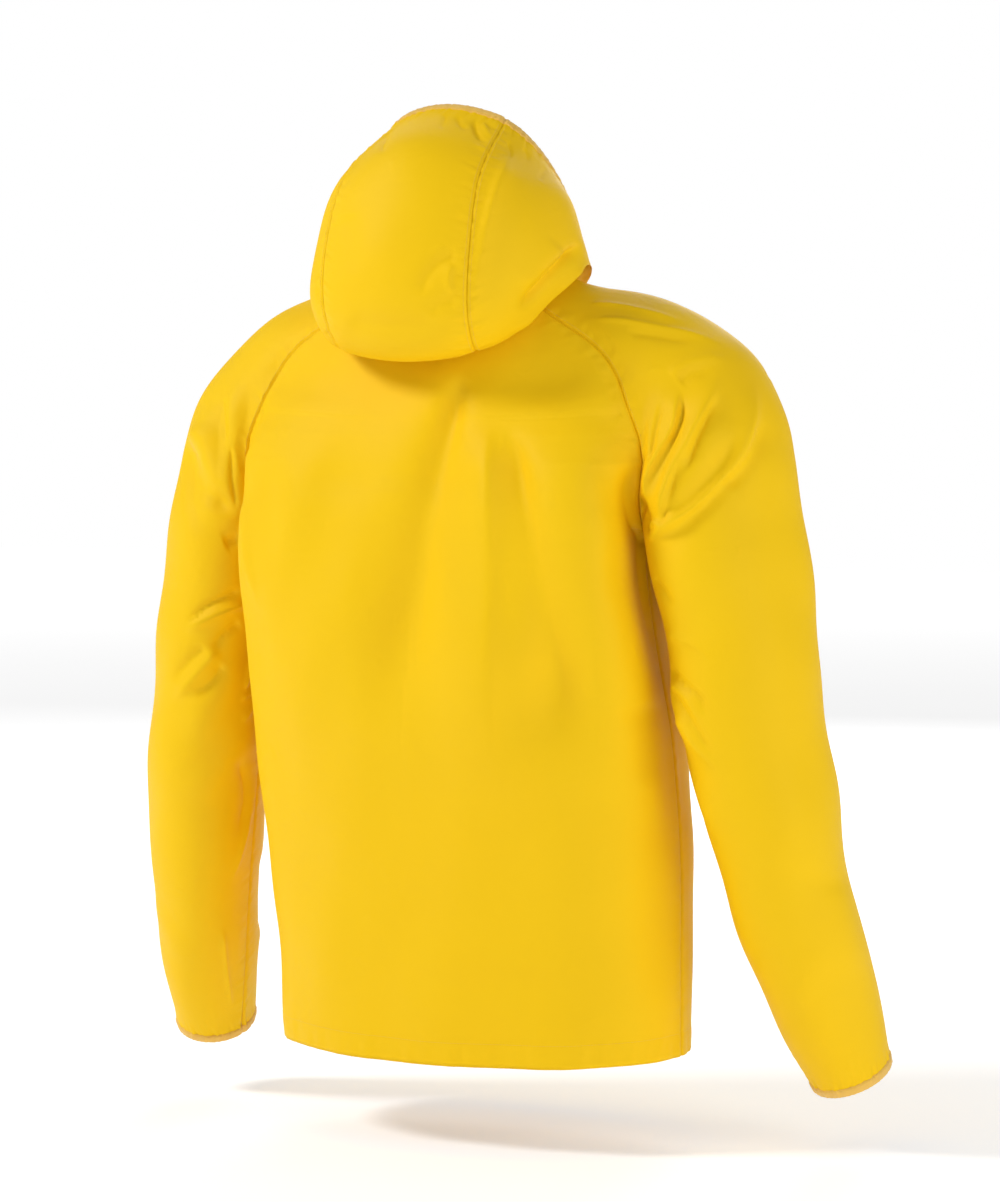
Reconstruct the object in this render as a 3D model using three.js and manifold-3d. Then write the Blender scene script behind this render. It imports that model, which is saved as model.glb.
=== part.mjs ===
// Hooded windbreaker with raglan sleeves, filled out as it is when worn, with nobody in it.
// Millimetres, +Z up. The front faces -Y and the wearer's left is +X.
// The origin is the middle of the neck, level with the nape, where the wearer's neck and shoulders hold it.
import * as THREE from "three";
import { mergeVertices } from "three/addons/utils/BufferGeometryUtils.js";
import Module from "manifold-3d";

// Cloth and sewing
const clothWall = 1.5; // thickness of every cloth panel
const seamGap = 0.36; // space left between two pieces that are sewn together
const creaseRoom = 0.65; // and this much more to each in the crease under the arm
const shoulderBlend = 50; // how softly the sleeve flows into the shoulder
const armpitBlend = 8; // how softly it does so at the armpit
const armpitHeight = -206; // about where the underarm point lies
const sleeveSeamAngle = 158; // round the sleeve from its outside, by way of its back, to its seam
const hoodLift = 1; // the hood's lower edge lies this far above the neck seam
const underarmFade = 30; // below it, how soon body and sleeve keep to their own forms
const hemHeight = -681; // hem at the sides
const hemDropBack = 6; // how far the hem dips at the centre back
const hemRiseFront = 6; // how far it rises at the centre front

// Bindings: folded elastic tape that clasps a cut edge
const bindingWidth = 9;
const bindingWall = 1;
const bindingClearance = 0.68; // between the tape and the cloth that it clasps

// Front zip
const zipHalfGap = 3.2; // from the centre line to the edge of each front panel
const tapeWidth = 13;
const tapeWall = 0.8;
const tapeGap = 0.6; // between the panel's inside and the tape
const coilWidth = 2.3; // one side's half of the closed coil
const coilSplit = 0.16; // from the centre line to each half
const coilProud = 0.5; // how far the coil lies below the panel's outside
const coilEndBelowRim = 22; // the coil stops this far below the chin
const tapeEndBelowRim = 12; // and its tapes stop here
const zipStart = 3; // the zip starts this far above the hem

// Zip slider and its pull tab, measured from the coil's end: along the zip, and out from the cloth
const slider = { halfWidth: 4.6, low: -9, high: 4.4, corner: 1.6, plate: 1.2, lift: 0.55 };
const post = { halfWidth: 1.9, low: 0.5, high: 3.4, corner: 0.5 };
const bridge = { halfWidth: 1, low: -5.2, high: 3.2, wall: 1.2, height: 2.9, shoulder: 1 };
const pull = { hinge: -1, halfWidth: 3.4, wall: 1.1, length: 26, window: 5.2, windowHalf: 1.5, corner: 1.6 };

// How finely each panel is divided: rows along it and columns across it
const bodyRows = { raglan: 11, side: 14 };
const bodyColumns = 18;
const sleeveRows = { raglan: 11, arm: 15 };
const sleeveColumns = 20;
const hoodRows = 16;
const hoodColumns = { centre: 8, side: 10 };

// Half widths and depths of the body at heights, from the hem to the neck. The sleeve presses the
// body's side in by press under the arm
const torsoSections = [
  { z: -720, width: 200, back: 117, front: 112, middle: -1, square: 2.25, press: 0 },
  { z: -600, width: 203, back: 120, front: 115, middle: 6, square: 2.25, press: 0 },
  { z: -500, width: 206, back: 123, front: 118, middle: 14, square: 2.3, press: 0 },
  { z: -400, width: 208, back: 126, front: 121, middle: 27, square: 2.5, press: 4 },
  { z: -300, width: 206, back: 127, front: 120, middle: 38, square: 3.3, press: 12 },
  { z: -215, width: 203, back: 123, front: 114, middle: 42, square: 3.9, press: 17 },
  { z: -150, width: 197, back: 114, front: 106, middle: 43, square: 3.4, press: 12 },
  { z: -100, width: 180, back: 102, front: 97, middle: 42, square: 2.6, press: 3 },
  { z: -60, width: 146, back: 90, front: 88, middle: 40, square: 2.1, press: 0 },
  { z: -20, width: 104, back: 76, front: 76, middle: 37, square: 2, press: 0 },
  { z: 20, width: 80, back: 64, front: 68, middle: 34, square: 2, press: 0 },
  { z: 70, width: 66, back: 54, front: 58, middle: 32, square: 2, press: 0 },
];
const pressMiddle = 96; // degrees from straight back
const pressHalf = 34;

// The left arm's middle line from the neck to the cuff, with the sleeve's half sizes round it:
// out is away from the body (up, over the shoulder), deep is front to back, and turn is how many
// degrees the section's back leans in towards the body
const armSections = [
  { x: 66, y: 42, z: -36, out: 50, deep: 46, turn: 0 },
  { x: 120, y: 26, z: -54, out: 62, deep: 60, turn: 4 },
  { x: 170, y: 9, z: -72, out: 69, deep: 72, turn: 14 },
  { x: 215, y: 8, z: -104, out: 69, deep: 77, turn: 22 },
  { x: 240, y: 19, z: -152, out: 63, deep: 77, turn: 26 },
  { x: 254, y: 27, z: -204, out: 57, deep: 77, turn: 25 },
  { x: 265, y: 28, z: -262, out: 57, deep: 75, turn: 25 },
  { x: 275, y: 26, z: -330, out: 57, deep: 71, turn: 25 },
  { x: 287, y: 18, z: -412, out: 56, deep: 67, turn: 22 },
  { x: 299, y: 5, z: -490, out: 54, deep: 62, turn: 20 },
  { x: 311, y: -14, z: -560, out: 50, deep: 57, turn: 18 },
  { x: 324, y: -41, z: -630, out: 45, deep: 50, turn: 14 },
  { x: 336, y: -71, z: -696, out: 37, deep: 39, turn: 8 },
];

// The raglan seams seen from behind and in front, from the neck down to the crease under the arm
const raglanLine = [
  { along: 0, x: 60, behind: 14, before: -14 },
  { along: 0.22, x: 108, behind: -14, before: -40 },
  { along: 0.45, x: 162, behind: -52, before: -76 },
  { along: 0.7, x: 197, behind: -118, before: -126 },
  { along: 0.8, x: 202, behind: -144, before: -146 },
];
const creaseFrom = 0.8; // the share of the seam above that crease
const creaseY = { behind: 88, before: -24, lowest: 50 };

// The hood's cloth in rings from the neck seam (0) to the face opening (1). Each ring gives
// points behind, behind and to the side, at the side, in front and to the side, and in front
const hoodRings = [
  { up: 0, back: [100, 2], backSide: [60, 84, 14], side: [84, 34, 34],
    frontSide: [58, -20, -14], front: [-40, -46] },
  { up: 0.1, back: [124, -22], backSide: [71, 99, 4], side: [97, 34, 45],
    frontSide: [67, -25, -6], front: [-42, -36] },
  { up: 0.22, back: [158, -56], backSide: [85, 126, -37], side: [120, 36, 28],
    frontSide: [78, -27, 2], front: [-45, -24] },
  { up: 0.4, back: [190, -22], backSide: [93, 152, -6], side: [122, 48, 42],
    frontSide: [85, -23, 11], front: [-48, -10] },
  { up: 0.6, back: [194, 50], backSide: [93, 147, 48], side: [116, 52, 68],
    frontSide: [84, -20, 24], front: [-51, 2] },
  { up: 0.8, back: [158, 126], backSide: [80, 126, 108], side: [104, 40, 90],
    frontSide: [77, -23, 37], front: [-53, 12] },
  { up: 1, back: [78, 173], backSide: [60, 62, 156], side: [84, 8, 98],
    frontSide: [69, -33, 49], front: [-55, 22] },
];
const hoodCentre = [
  { up: 0, half: 46 },
  { up: 0.22, half: 66 },
  { up: 0.5, half: 73 },
  { up: 0.8, half: 68 },
  { up: 1, half: 55 },
];

// The largest folds, as ridges (height above the cloth) or troughs (below it), each from one
// point by way of a second to a third. They are given on the left half and mirrored to the right
const folds = [
  { on: "sleeve", from: [262, 60, -96], via: [252, 92, -150], to: [214, 88, -212], width: 30, height: 8 },
  { on: "sleeve", from: [272, 52, -134], via: [258, 92, -182], to: [222, 88, -232], width: 24, height: -5 },
  { on: "sleeve", from: [172, 92, -64], via: [182, 104, -130], to: [200, 92, -206], width: 17, height: 5 },
  { on: "sleeve", from: [222, 74, -70], via: [214, 100, -134], to: [206, 92, -206], width: 18, height: 5 },
  { on: "sleeve", from: [262, -20, -96], via: [252, -40, -150], to: [206, -22, -204], width: 30, height: 4 },
  { on: "sleeve", from: [214, 56, -330], via: [240, 84, -366], to: [276, 88, -410], width: 26, height: 3.5 },
  { on: "sleeve", from: [228, 30, -392], via: [246, 60, -430], to: [280, 74, -474], width: 22, height: 2.5 },
  { on: "sleeve", from: [330, -30, -470], via: [318, -66, -500], to: [280, -62, -540], width: 28, height: 2 },
  { on: "sleeve", from: [350, 10, -560], via: [338, 34, -600], to: [306, 28, -640], width: 24, height: 1.5 },
  { on: "body", from: [150, 132, -150], via: [160, 138, -260], to: [150, 128, -400], width: 46, height: -6 },
  { on: "body", from: [40, 150, -110], via: [70, 164, -200], to: [120, 150, -330], width: 44, height: -4 },
  { on: "body", from: [6, 158, -160], via: [2, 166, -330], to: [10, 140, -560], width: 50, height: -4 },
  { on: "body", from: [110, -58, -200], via: [120, -80, -330], to: [110, -96, -520], width: 46, height: -6 },
];

// Small helpers
const clamp = (v, low, high) => Math.min(high, Math.max(low, v));
const mix = (a, b, t) => a + (b - a) * t;
const ease = (low, high, v) => {
  const t = clamp((v - low) / (high - low), 0, 1);
  return t * t * (3 - 2 * t);
};
const vec = (x, y, z) => new THREE.Vector3(x, y, z);
const lerp = (a, b, t) => a.clone().lerp(b, t);
const steps = (n) => Array.from({ length: n + 1 }, (_, i) => i / n);
const radians = Math.PI / 180;

// A smooth curve through one column of a table, read at a value of its key column
function read(table, key, column, at) {
  const rising = table[1][key] > table[0][key];
  const before = (i) => (rising ? table[i][key] <= at : table[i][key] >= at);
  let i = 0;
  while (i < table.length - 2 && before(i + 1)) i += 1;
  const knot = (n) => table[clamp(n, 0, table.length - 1)];
  const slope = (n) => {
    const a = knot(n - 1);
    const b = knot(n + 1);
    return (b[column] - a[column]) / (b[key] - a[key]);
  };
  const a = knot(i);
  const b = knot(i + 1);
  const span = b[key] - a[key];
  const t = clamp((at - a[key]) / span, 0, 1);
  const t2 = t * t;
  const t3 = t2 * t;
  return (
    (2 * t3 - 3 * t2 + 1) * a[column] +
    (t3 - 2 * t2 + t) * span * slope(i) +
    (3 * t2 - 2 * t3) * b[column] +
    (t3 - t2) * span * slope(i + 1)
  );
}

// How far a point lies outside the body's section at its height
function outsideTorso(p) {
  const middle = read(torsoSections, "z", "middle", p.z);
  const reach = Math.hypot(p.x, p.y - middle);
  return reach < 1e-6 ? -100 : reach - torsoReach(Math.atan2(p.x, p.y - middle), p.z);
}

// How far the body's section reaches in a direction, in turns from straight back
function torsoReach(angle, z) {
  const width = read(torsoSections, "z", "width", z);
  const depth = read(torsoSections, "z", Math.cos(angle) > 0 ? "back" : "front", z);
  const square = read(torsoSections, "z", "square", z);
  const share = Math.abs(Math.sin(angle) / width) ** square + Math.abs(Math.cos(angle) / depth) ** square;
  const aside = (Math.abs(angle) / radians - pressMiddle) / pressHalf;
  return share ** (-1 / square) - read(torsoSections, "z", "press", z) * Math.max(1 - aside * aside, 0) ** 2;
}

// The left arm's stations, close together, each with its own axes: down the arm, back and out
const armStations = (() => {
  const last = armSections.length - 1;
  const rows = armSections.map((row, n) => ({ ...row, n }));
  const count = 5 * last;
  const at = (u) => vec(...["x", "y", "z"].map((column) => read(rows, "n", column, u)));
  return Array.from({ length: count + 1 }, (_, k) => {
    const u = (k / count) * last;
    const down = at(Math.min(u + 0.1, last)).sub(at(Math.max(u - 0.1, 0))).normalize();
    const level = vec(0, 1, 0).addScaledVector(down, -down.y).normalize();
    const turn = -read(rows, "n", "turn", u) * radians;
    const back = level.clone().applyAxisAngle(down, turn);
    const out = down.clone().cross(back);
    const [outSize, deepSize] = ["out", "deep"].map((column) => read(rows, "n", column, u));
    return { p: at(u), down, back, out, outSize, deepSize };
  });
})();

function armAt(share) {
  const count = armStations.length - 1;
  const i = Math.min(Math.floor(clamp(share, 0, 1) * count), count - 1);
  const t = clamp(share, 0, 1) * count - i;
  const a = armStations[i];
  const b = armStations[i + 1];
  return {
    p: lerp(a.p, b.p, t),
    down: lerp(a.down, b.down, t).normalize(),
    back: lerp(a.back, b.back, t).normalize(),
    out: lerp(a.out, b.out, t).normalize(),
    outSize: mix(a.outSize, b.outSize, t),
    deepSize: mix(a.deepSize, b.deepSize, t),
  };
}

// The share of the arm's length nearest to a point
function nearestOnArm(p) {
  let best = Infinity;
  let found = 0;
  for (let i = 0; i < armStations.length - 1; i += 1) {
    const a = armStations[i].p;
    const b = armStations[i + 1].p;
    const [lx, ly, lz] = [b.x - a.x, b.y - a.y, b.z - a.z];
    const [px, py, pz] = [p.x - a.x, p.y - a.y, p.z - a.z];
    const t = clamp((px * lx + py * ly + pz * lz) / (lx * lx + ly * ly + lz * lz), 0, 1);
    const gap = (px - lx * t) ** 2 + (py - ly * t) ** 2 + (pz - lz * t) ** 2;
    if (gap < best) {
      best = gap;
      found = i + t;
    }
  }
  return found / (armStations.length - 1);
}

// How far a point lies outside the left sleeve's tube
function outsideArm(p) {
  const s = armAt(nearestOnArm(p));
  const d = p.clone().sub(s.p);
  const reach = d.length();
  const share = Math.hypot(d.dot(s.out) / s.outSize, d.dot(s.back) / s.deepSize, d.dot(s.down) / s.outSize);
  return reach < 1e-6 ? -s.outSize : reach * (1 - 1 / share);
}

// How far a point lies outside the body and the left sleeve, joined smoothly. Below the underarm
// point they part, and piece says which of the two is meant
function outside(p, piece) {
  const a = outsideTorso(p);
  const b = outsideArm(p);
  const blend = mix(armpitBlend, shoulderBlend, ease(armpitHeight, armpitHeight + 130, p.z));
  const h = Math.max(blend - Math.abs(a - b), 0) / blend;
  if (piece === "both" || p.z > underarm.z) return Math.min(a, b) - (h * h * blend) / 4;
  const fade = 1 - ease(0, underarmFade, underarm.z - p.z);
  return (piece === "body" ? a : b) - (fade * h * h * blend) / 4;
}

// The slope of that distance
function slopeAt(p, piece) {
  const e = 0.6;
  const at = (x, y, z) => outside(vec(p.x + x, p.y + y, p.z + z), piece);
  const across = (x, y, z) => (at(x, y, z) - at(-x, -y, -z)) / (2 * e);
  return vec(across(e, 0, 0), across(0, e, 0), across(0, 0, e));
}

// A guessed point moved onto the surface
function settle(guess, piece) {
  const p = guess.clone();
  for (let n = 0; n < 5; n += 1) {
    const slope = slopeAt(p, piece);
    const move = -outside(p, piece) / Math.max(slope.lengthSq(), 0.25);
    p.addScaledVector(slope, clamp(move, -14, 14));
  }
  return p;
}

// The crease under the arm, where body and sleeve part, at a place between front and back
function crease(y) {
  const widest = (z) => {
    let most = { gap: -Infinity, x: 0 };
    for (let x = 170; x <= 240; x += 1) {
      const gap = outside(vec(x, y, z), "both");
      if (gap > most.gap) most = { gap, x };
    }
    return most;
  };
  let inside = armpitHeight + 90;
  let clear = armpitHeight - 60;
  for (let n = 0; n < 18; n += 1) {
    const half = (inside + clear) / 2;
    if (widest(half).gap < 0) inside = half;
    else clear = half;
  }
  return vec(widest(inside).x, y, inside);
}

// Its lowest place is the underarm point
const underarm = crease(creaseY.lowest);

// The hood's cloth: q runs 0 behind, 1 behind to the side, 2 side, 3 front side and 4 front
const hoodColumnNames = ["back", "backSide", "side", "frontSide", "front"];
const hoodTables = hoodColumnNames.map((name) =>
  hoodRings.map((row) => {
    const [x, y, z] = row[name].length === 3 ? row[name] : [0, ...row[name]];
    return { up: row.up, x, y, z };
  }));

function hoodStation(up, n) {
  const k = Math.abs(n) > 4 ? 8 - Math.abs(n) : Math.abs(n);
  const side = n < 0 !== Math.abs(n) > 4 ? -1 : 1;
  const [x, y, z] = ["x", "y", "z"].map((column) => read(hoodTables[k], "up", column, up));
  return vec(side * x, y, z);
}

function hoodPoint(q, up) {
  const i = clamp(Math.floor(q), -4, 3);
  const t = q - i;
  const [a, b, c, d] = [i - 1, i, i + 1, i + 2].map((n) => hoodStation(up, n));
  const spot = (column) => {
    const [k, l, m, n] = [a[column], b[column], c[column], d[column]];
    return l + ((m - k) * t + (2 * k - 5 * l + 4 * m - n) * t * t + (3 * l - k - 3 * m + n) * t * t * t) / 2;
  };
  return vec(spot("x"), spot("y"), spot("z"));
}

function hoodOutward(q, up) {
  const e = 0.01;
  const across = hoodPoint(q + e, up).sub(hoodPoint(q - e, up));
  const rise = hoodPoint(q, Math.min(up + e, 1)).sub(hoodPoint(q, Math.max(up - e, 0)));
  return rise.cross(across).normalize();
}

// Where a hood ring is x away from the middle, looked for between two places on it
function hoodPlace(up, x, low, high) {
  const rising = hoodPoint(high, up).x > hoodPoint(low, up).x;
  for (let n = 0; n < 22; n += 1) {
    const half = (low + high) / 2;
    if (hoodPoint(half, up).x < x === rising) low = half;
    else high = half;
  }
  return (low + high) / 2;
}

// The neck seam runs round the hood's first ring. The raglan seams meet it at these places
const neckPoint = (q) => hoodPoint(q, 0);
const neckBehind = 1;
const neckBefore = 3;
const neckReach = 0.3; // the share of a panel's length over which it runs into the neck seam

// A raglan seam point, from the neck (0) to the underarm point (1). Its last part runs in the
// crease under the arm
function raglan(side, along) {
  if (along >= 1) return underarm.clone();
  const cast = (t) => {
    const z = read(raglanLine, "along", side, t);
    const from = vec(read(raglanLine, "along", "x", t), read(torsoSections, "z", "middle", z), z);
    return leave(from, vec(0, side === "behind" ? 1 : -1, 0));
  };
  const inCrease = (along - creaseFrom) / (1 - creaseFrom);
  if (inCrease > 0) {
    const low = crease(mix(creaseY[side], creaseY.lowest, inCrease));
    return settle(cast(creaseFrom).lerp(low, ease(0, 0.6, inCrease)), "both");
  }
  const neck = neckPoint(side === "behind" ? neckBehind : neckBefore);
  return cast(along).addScaledVector(neck.sub(cast(0)), 1 - ease(0, neckReach, along));
}

// Where a line from inside first leaves the surface
function leave(from, direction) {
  const stride = 5;
  const p = vec(0, 0, 0);
  const at = (r) => outside(p.copy(from).addScaledVector(direction, r), "both");
  let far = stride;
  while (at(far) < 0) far += stride;
  let near = far - stride;
  for (let n = 0; n < 14; n += 1) {
    const half = (near + far) / 2;
    if (at(half) < 0) near = half;
    else far = half;
  }
  return from.clone().addScaledVector(direction, (near + far) / 2);
}

// The side seam, from the underarm point (0) to the hem (1)
function sideSeam(down) {
  const z = mix(underarm.z, hemHeight, down);
  const form = vec(torsoReach(Math.PI / 2, z), read(torsoSections, "z", "middle", z), z);
  const spread = 1 - ease(0, 0.07, down);
  return vec(mix(form.x, underarm.x, spread), mix(form.y, underarm.y, 1 - ease(0, 0.4, down)), z);
}

// The sleeve's own seam, from the underarm point (0) to the cuff (1)
const underarmShare = nearestOnArm(underarm);
function armSeam(down) {
  const s = armAt(mix(underarmShare, 1, down));
  const start = armAt(underarmShare);
  const away = underarm.clone().sub(start.p);
  const first = Math.atan2(away.dot(start.back), away.dot(start.out));
  const angle = mix(first < 0 ? first + 2 * Math.PI : first, sleeveSeamAngle * radians, ease(0, 0.35, down));
  const short = away.sub(roundArm(start, first));
  return s.p.clone().add(roundArm(s, angle)).addScaledVector(short, 1 - ease(0, 0.07, down));
}

// From the arm's middle line to its section's outline, at an angle from out towards back
function roundArm({ out, back, outSize, deepSize }, angle) {
  const reach = Math.hypot(Math.cos(angle) / outSize, Math.sin(angle) / deepSize);
  return vec(0, 0, 0)
    .addScaledVector(out, Math.cos(angle) / reach)
    .addScaledVector(back, Math.sin(angle) / reach);
}

// A panel of cloth is a grid of places, each a point of its outside and the direction out of it.
// The rows' ends are first moved onto the seams that bound it
function meetSeams(points, first, last) {
  return points.map((row, i) => {
    const low = first ? first[i].clone().sub(row[0].p) : vec(0, 0, 0);
    const high = last ? last[i].clone().sub(row[row.length - 1].p) : vec(0, 0, 0);
    return row.map(({ p, s, piece }) => {
      const moved = p.clone().addScaledVector(low, (1 - s) ** 3).addScaledVector(high, s ** 3);
      return { p: moved, s, piece };
    });
  });
}

// How far the folds lift a point of the cloth
function foldHeight(p, on) {
  return folds.reduce((sum, fold) => {
    if (fold.on !== on) return sum;
    let nearest = Infinity;
    let at = 0;
    for (const t of steps(10)) {
      const spot = (k) => mix(mix(fold.from[k], fold.via[k], t), mix(fold.via[k], fold.to[k], t), t);
      const [x, y, z] = [0, 1, 2].map(spot);
      const gap = Math.hypot(Math.abs(p.x) - x, p.y - y, p.z - z);
      if (gap < nearest) [nearest, at] = [gap, t];
    }
    const side = Math.max(1 - (nearest / fold.width) ** 2, 0) ** 2;
    return sum + fold.height * side * ease(-0.1, 0.25, at) * ease(1.1, 0.75, at);
  }, 0);
}

// Outside and inside points of a panel: folded, drawn back from its seams and given a thickness
function clothWalls(grid, on, seams) {
  const placed = grid.map((row) =>
    row.map(({ p, s, piece, n }) => {
      const out = n ?? slopeAt(p, piece).normalize();
      const lift = foldHeight(p, on) * ease(0, 0.1, Math.min(s, 1 - s));
      return { p: p.clone().addScaledVector(out, lift), n: out };
    }));
  const rows = placed.length - 1;
  const columns = placed[0].length - 1;
  const drawn = placed.map((row, i) => {
    const share = i / bodyRows.raglan;
    const room = on === "hood" ? 0 : creaseRoom * ease(0.6, 0.8, share) * ease(1.3, 1.1, share);
    return row.map(({ p, n }, j) => {
      const moved = p.clone();
      const draw = (beside, needed) => {
        if (needed) moved.addScaledVector(beside.p.clone().sub(p).normalize(), seamGap / 2 + room);
      };
      draw(row[Math.min(j + 1, columns)], j === 0 && seams.first);
      draw(row[Math.max(j - 1, 0)], j === columns && seams.last);
      draw(placed[Math.min(i + 1, rows)][j], i === 0 && seams.top);
      return { p: moved, n };
    });
  });
  return {
    outer: drawn.map((row) => row.map(({ p }) => p)),
    inner: drawn.map((row) => row.map(({ p, n }) => p.clone().addScaledVector(n, -clothWall))),
  };
}

// A closed solid between the two grids of a panel. The body's rows run down, the hood's run up
function wallBetween({ outer, inner }, turned) {
  const columns = outer[0].length;
  const count = outer.length * columns;
  const corners = [...outer.flat(), ...inner.flat()];
  const faces = [];
  const face = (a, b, c) => faces.push(...(turned ? [a, b, c] : [a, c, b]));
  const quad = (a, b, c, d) => {
    face(a, b, c);
    face(a, c, d);
  };
  const at = (i, j) => i * columns + j;
  for (let i = 0; i < outer.length - 1; i += 1) {
    for (let j = 0; j < columns - 1; j += 1) {
      const [a, b, c, d] = [at(i, j), at(i, j + 1), at(i + 1, j + 1), at(i + 1, j)];
      const [e, f, g, h] = [a, b, c, d].map((n) => n + count);
      if (corners[a].distanceTo(corners[c]) < corners[b].distanceTo(corners[d])) {
        quad(a, b, c, d);
        quad(g, f, e, h);
      } else {
        quad(b, c, d, a);
        quad(f, e, h, g);
      }
    }
  }
  const rim = (a, b) => quad(b, a, a + count, b + count);
  const last = outer.length - 1;
  for (let j = 0; j < columns - 1; j += 1) {
    rim(at(0, j), at(0, j + 1));
    rim(at(last, j + 1), at(last, j));
  }
  for (let i = 0; i < last; i += 1) {
    rim(at(i + 1, 0), at(i, 0));
    rim(at(i, columns - 1), at(i + 1, columns - 1));
  }
  return meshShape(corners, faces);
}

function meshShape(corners, faces) {
  const shape = new THREE.BufferGeometry();
  const places = corners.flatMap(({ x, y, z }) => [x, y, z]);
  shape.setAttribute("position", new THREE.Float32BufferAttribute(places, 3));
  shape.setIndex(faces);
  shape.computeVertexNormals();
  return shape;
}

// The same shape on the wearer's other side
function mirroredShape(shape) {
  const other = shape.clone().scale(-1, 1, 1);
  const corners = Array.from(other.index.array);
  for (let i = 0; i < corners.length; i += 3) {
    [corners[i + 1], corners[i + 2]] = [corners[i + 2], corners[i + 1]];
  }
  other.setIndex(corners);
  other.computeVertexNormals();
  return other;
}

// Rows lie closer together towards the underarm, where the raglan seam turns under the arm
const raglanSteps = (n) => steps(n).map((t) => 1 - (1 - t) ** 1.35);

// Rows of the body panels: seam points down the raglan and side seams, with heights at the middle
const bodyEdge = (side) => [
  ...raglanSteps(bodyRows.raglan).map((t) => raglan(side, t)),
  ...steps(bodyRows.side).slice(1).map(sideSeam),
];
const rowShare = (i) => i / (bodyRows.raglan + bodyRows.side);

function middleHeight(i, top, bottom) {
  const level = underarm.z - 2;
  const t = i / bodyRows.raglan;
  return t <= 1 ? mix(top, level, t) : mix(level, bottom, (i - bodyRows.raglan) / bodyRows.side);
}

// A body panel's point in a direction at a height
function bodyPlace(angle, z) {
  const reach = torsoReach(angle, z);
  const middle = read(torsoSections, "z", "middle", z);
  return settle(vec(reach * Math.sin(angle), middle + reach * Math.cos(angle), z), "body");
}

const angleOf = (p) => Math.atan2(p.x, p.y - read(torsoSections, "z", "middle", p.z));

// Rows are drawn onto the neck seam at the top, less and less further down
function meetNeck(rows, neck) {
  const shift = rows[0].map(({ p, s }) => neck(s).sub(p));
  return rows.map((row, i) => row.map((place, j) => {
    const hold = 1 - ease(0, neckReach, rowShare(i));
    return { ...place, p: place.p.clone().addScaledVector(shift[j], hold) };
  }));
}

const backPanel = (() => {
  const edge = bodyEdge("behind");
  const top = neckPoint(0).z;
  const rows = edge.map((end, i) => {
    const middle = middleHeight(i, top, hemHeight - hemDropBack);
    return steps(bodyColumns).map((s) => {
      const across = 1 - 2 * s;
      const z = mix(middle, end.z, across * across);
      return { p: bodyPlace(angleOf(end) * across, z), s, piece: "body" };
    });
  });
  const onNeck = meetNeck(rows, (s) => neckPoint(neckBehind * (1 - 2 * s)));
  return meetSeams(onNeck, edge, edge.map((p) => vec(-p.x, p.y, p.z)));
})();

const frontPanel = (() => {
  const edge = bodyEdge("before");
  const top = neckPoint(4).z;
  const besideZip = [zipHalfGap, tapeWidth + 1];
  const rows = edge.map((end, i) => {
    const middle = middleHeight(i, top, hemHeight + hemRiseFront);
    const depth = torsoReach(Math.PI, middle);
    const far = angleOf(end);
    const near = besideZip.map((x) => Math.PI - Math.atan2(x, depth));
    const turns = [near[0], ...steps(bodyColumns / 2 - 1).map((t) => mix(near[1], far, t))];
    return turns.map((angle) => {
      const s = (angle - near[0]) / (far - near[0]);
      return { p: bodyPlace(angle, mix(middle, end.z, s * s)), s, piece: "body" };
    });
  });
  const zipPlace = hoodPlace(0, zipHalfGap, neckBefore, 4);
  const onNeck = meetNeck(rows, (s) => neckPoint(mix(zipPlace, neckBefore, s)));
  const zipEdge = onNeck.map((row) => vec(zipHalfGap, row[0].p.y, row[0].p.z));
  return meetSeams(onNeck, zipEdge, edge);
})();

const sleevePanel = (() => {
  const raglanRows = raglanSteps(sleeveRows.raglan).map((t, i) => {
    const share = (underarmShare * i) / sleeveRows.raglan;
    return { before: raglan("before", t), behind: raglan("behind", t), share };
  });
  const armRows = steps(sleeveRows.arm).slice(1).map((t) => {
    const seam = armSeam(t);
    return { before: seam, behind: seam, share: mix(underarmShare, 1, t) };
  });
  const all = [...raglanRows, ...armRows];
  const rows = all.map(({ before, behind, share }, i) => {
    const s0 = armAt(share);
    const turn = (p) => {
      const d = p.clone().sub(s0.p);
      return { angle: Math.atan2(d.dot(s0.back), d.dot(s0.out)), along: d.dot(s0.down) };
    };
    const [low, high] = [turn(before), turn(behind)];
    if (high.angle < 0) high.angle += 2 * Math.PI;
    if (low.angle > 0 || i >= sleeveRows.raglan) low.angle -= 2 * Math.PI;
    if (i >= sleeveRows.raglan) low.angle = high.angle - 2 * Math.PI;
    return steps(sleeveColumns).map((s) => {
      const angle = mix(low.angle, high.angle, s);
      const along = low.along * (1 - s) ** 2 + high.along * s ** 2;
      const guess = s0.p.clone().add(roundArm(s0, angle)).addScaledVector(s0.down, along);
      return { p: i > sleeveRows.raglan + 3 ? guess : settle(guess, "sleeve"), s, piece: "sleeve" };
    });
  });
  const onNeck = meetNeck(rows, (s) => neckPoint(mix(neckBefore, neckBehind, s)));
  return meetSeams(onNeck, all.map(({ before }) => before), all.map(({ behind }) => behind));
})();

// The hood's centre and side panels, from the neck seam up to the face opening
const hoodSeamPlace = (up) => hoodPlace(up, read(hoodCentre, "up", "half", up), 0, 2);

const hoodSpot = (q, up, s) => {
  const p = hoodPoint(q, up);
  p.z += hoodLift * (1 - ease(0, 0.1, up));
  return { p, s, n: hoodOutward(q, up) };
};

const hoodCentrePanel = steps(hoodRows).map((up) =>
  steps(hoodColumns.centre).map((s) => hoodSpot(mix(hoodSeamPlace(up), -hoodSeamPlace(up), s), up, s)));

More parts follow.
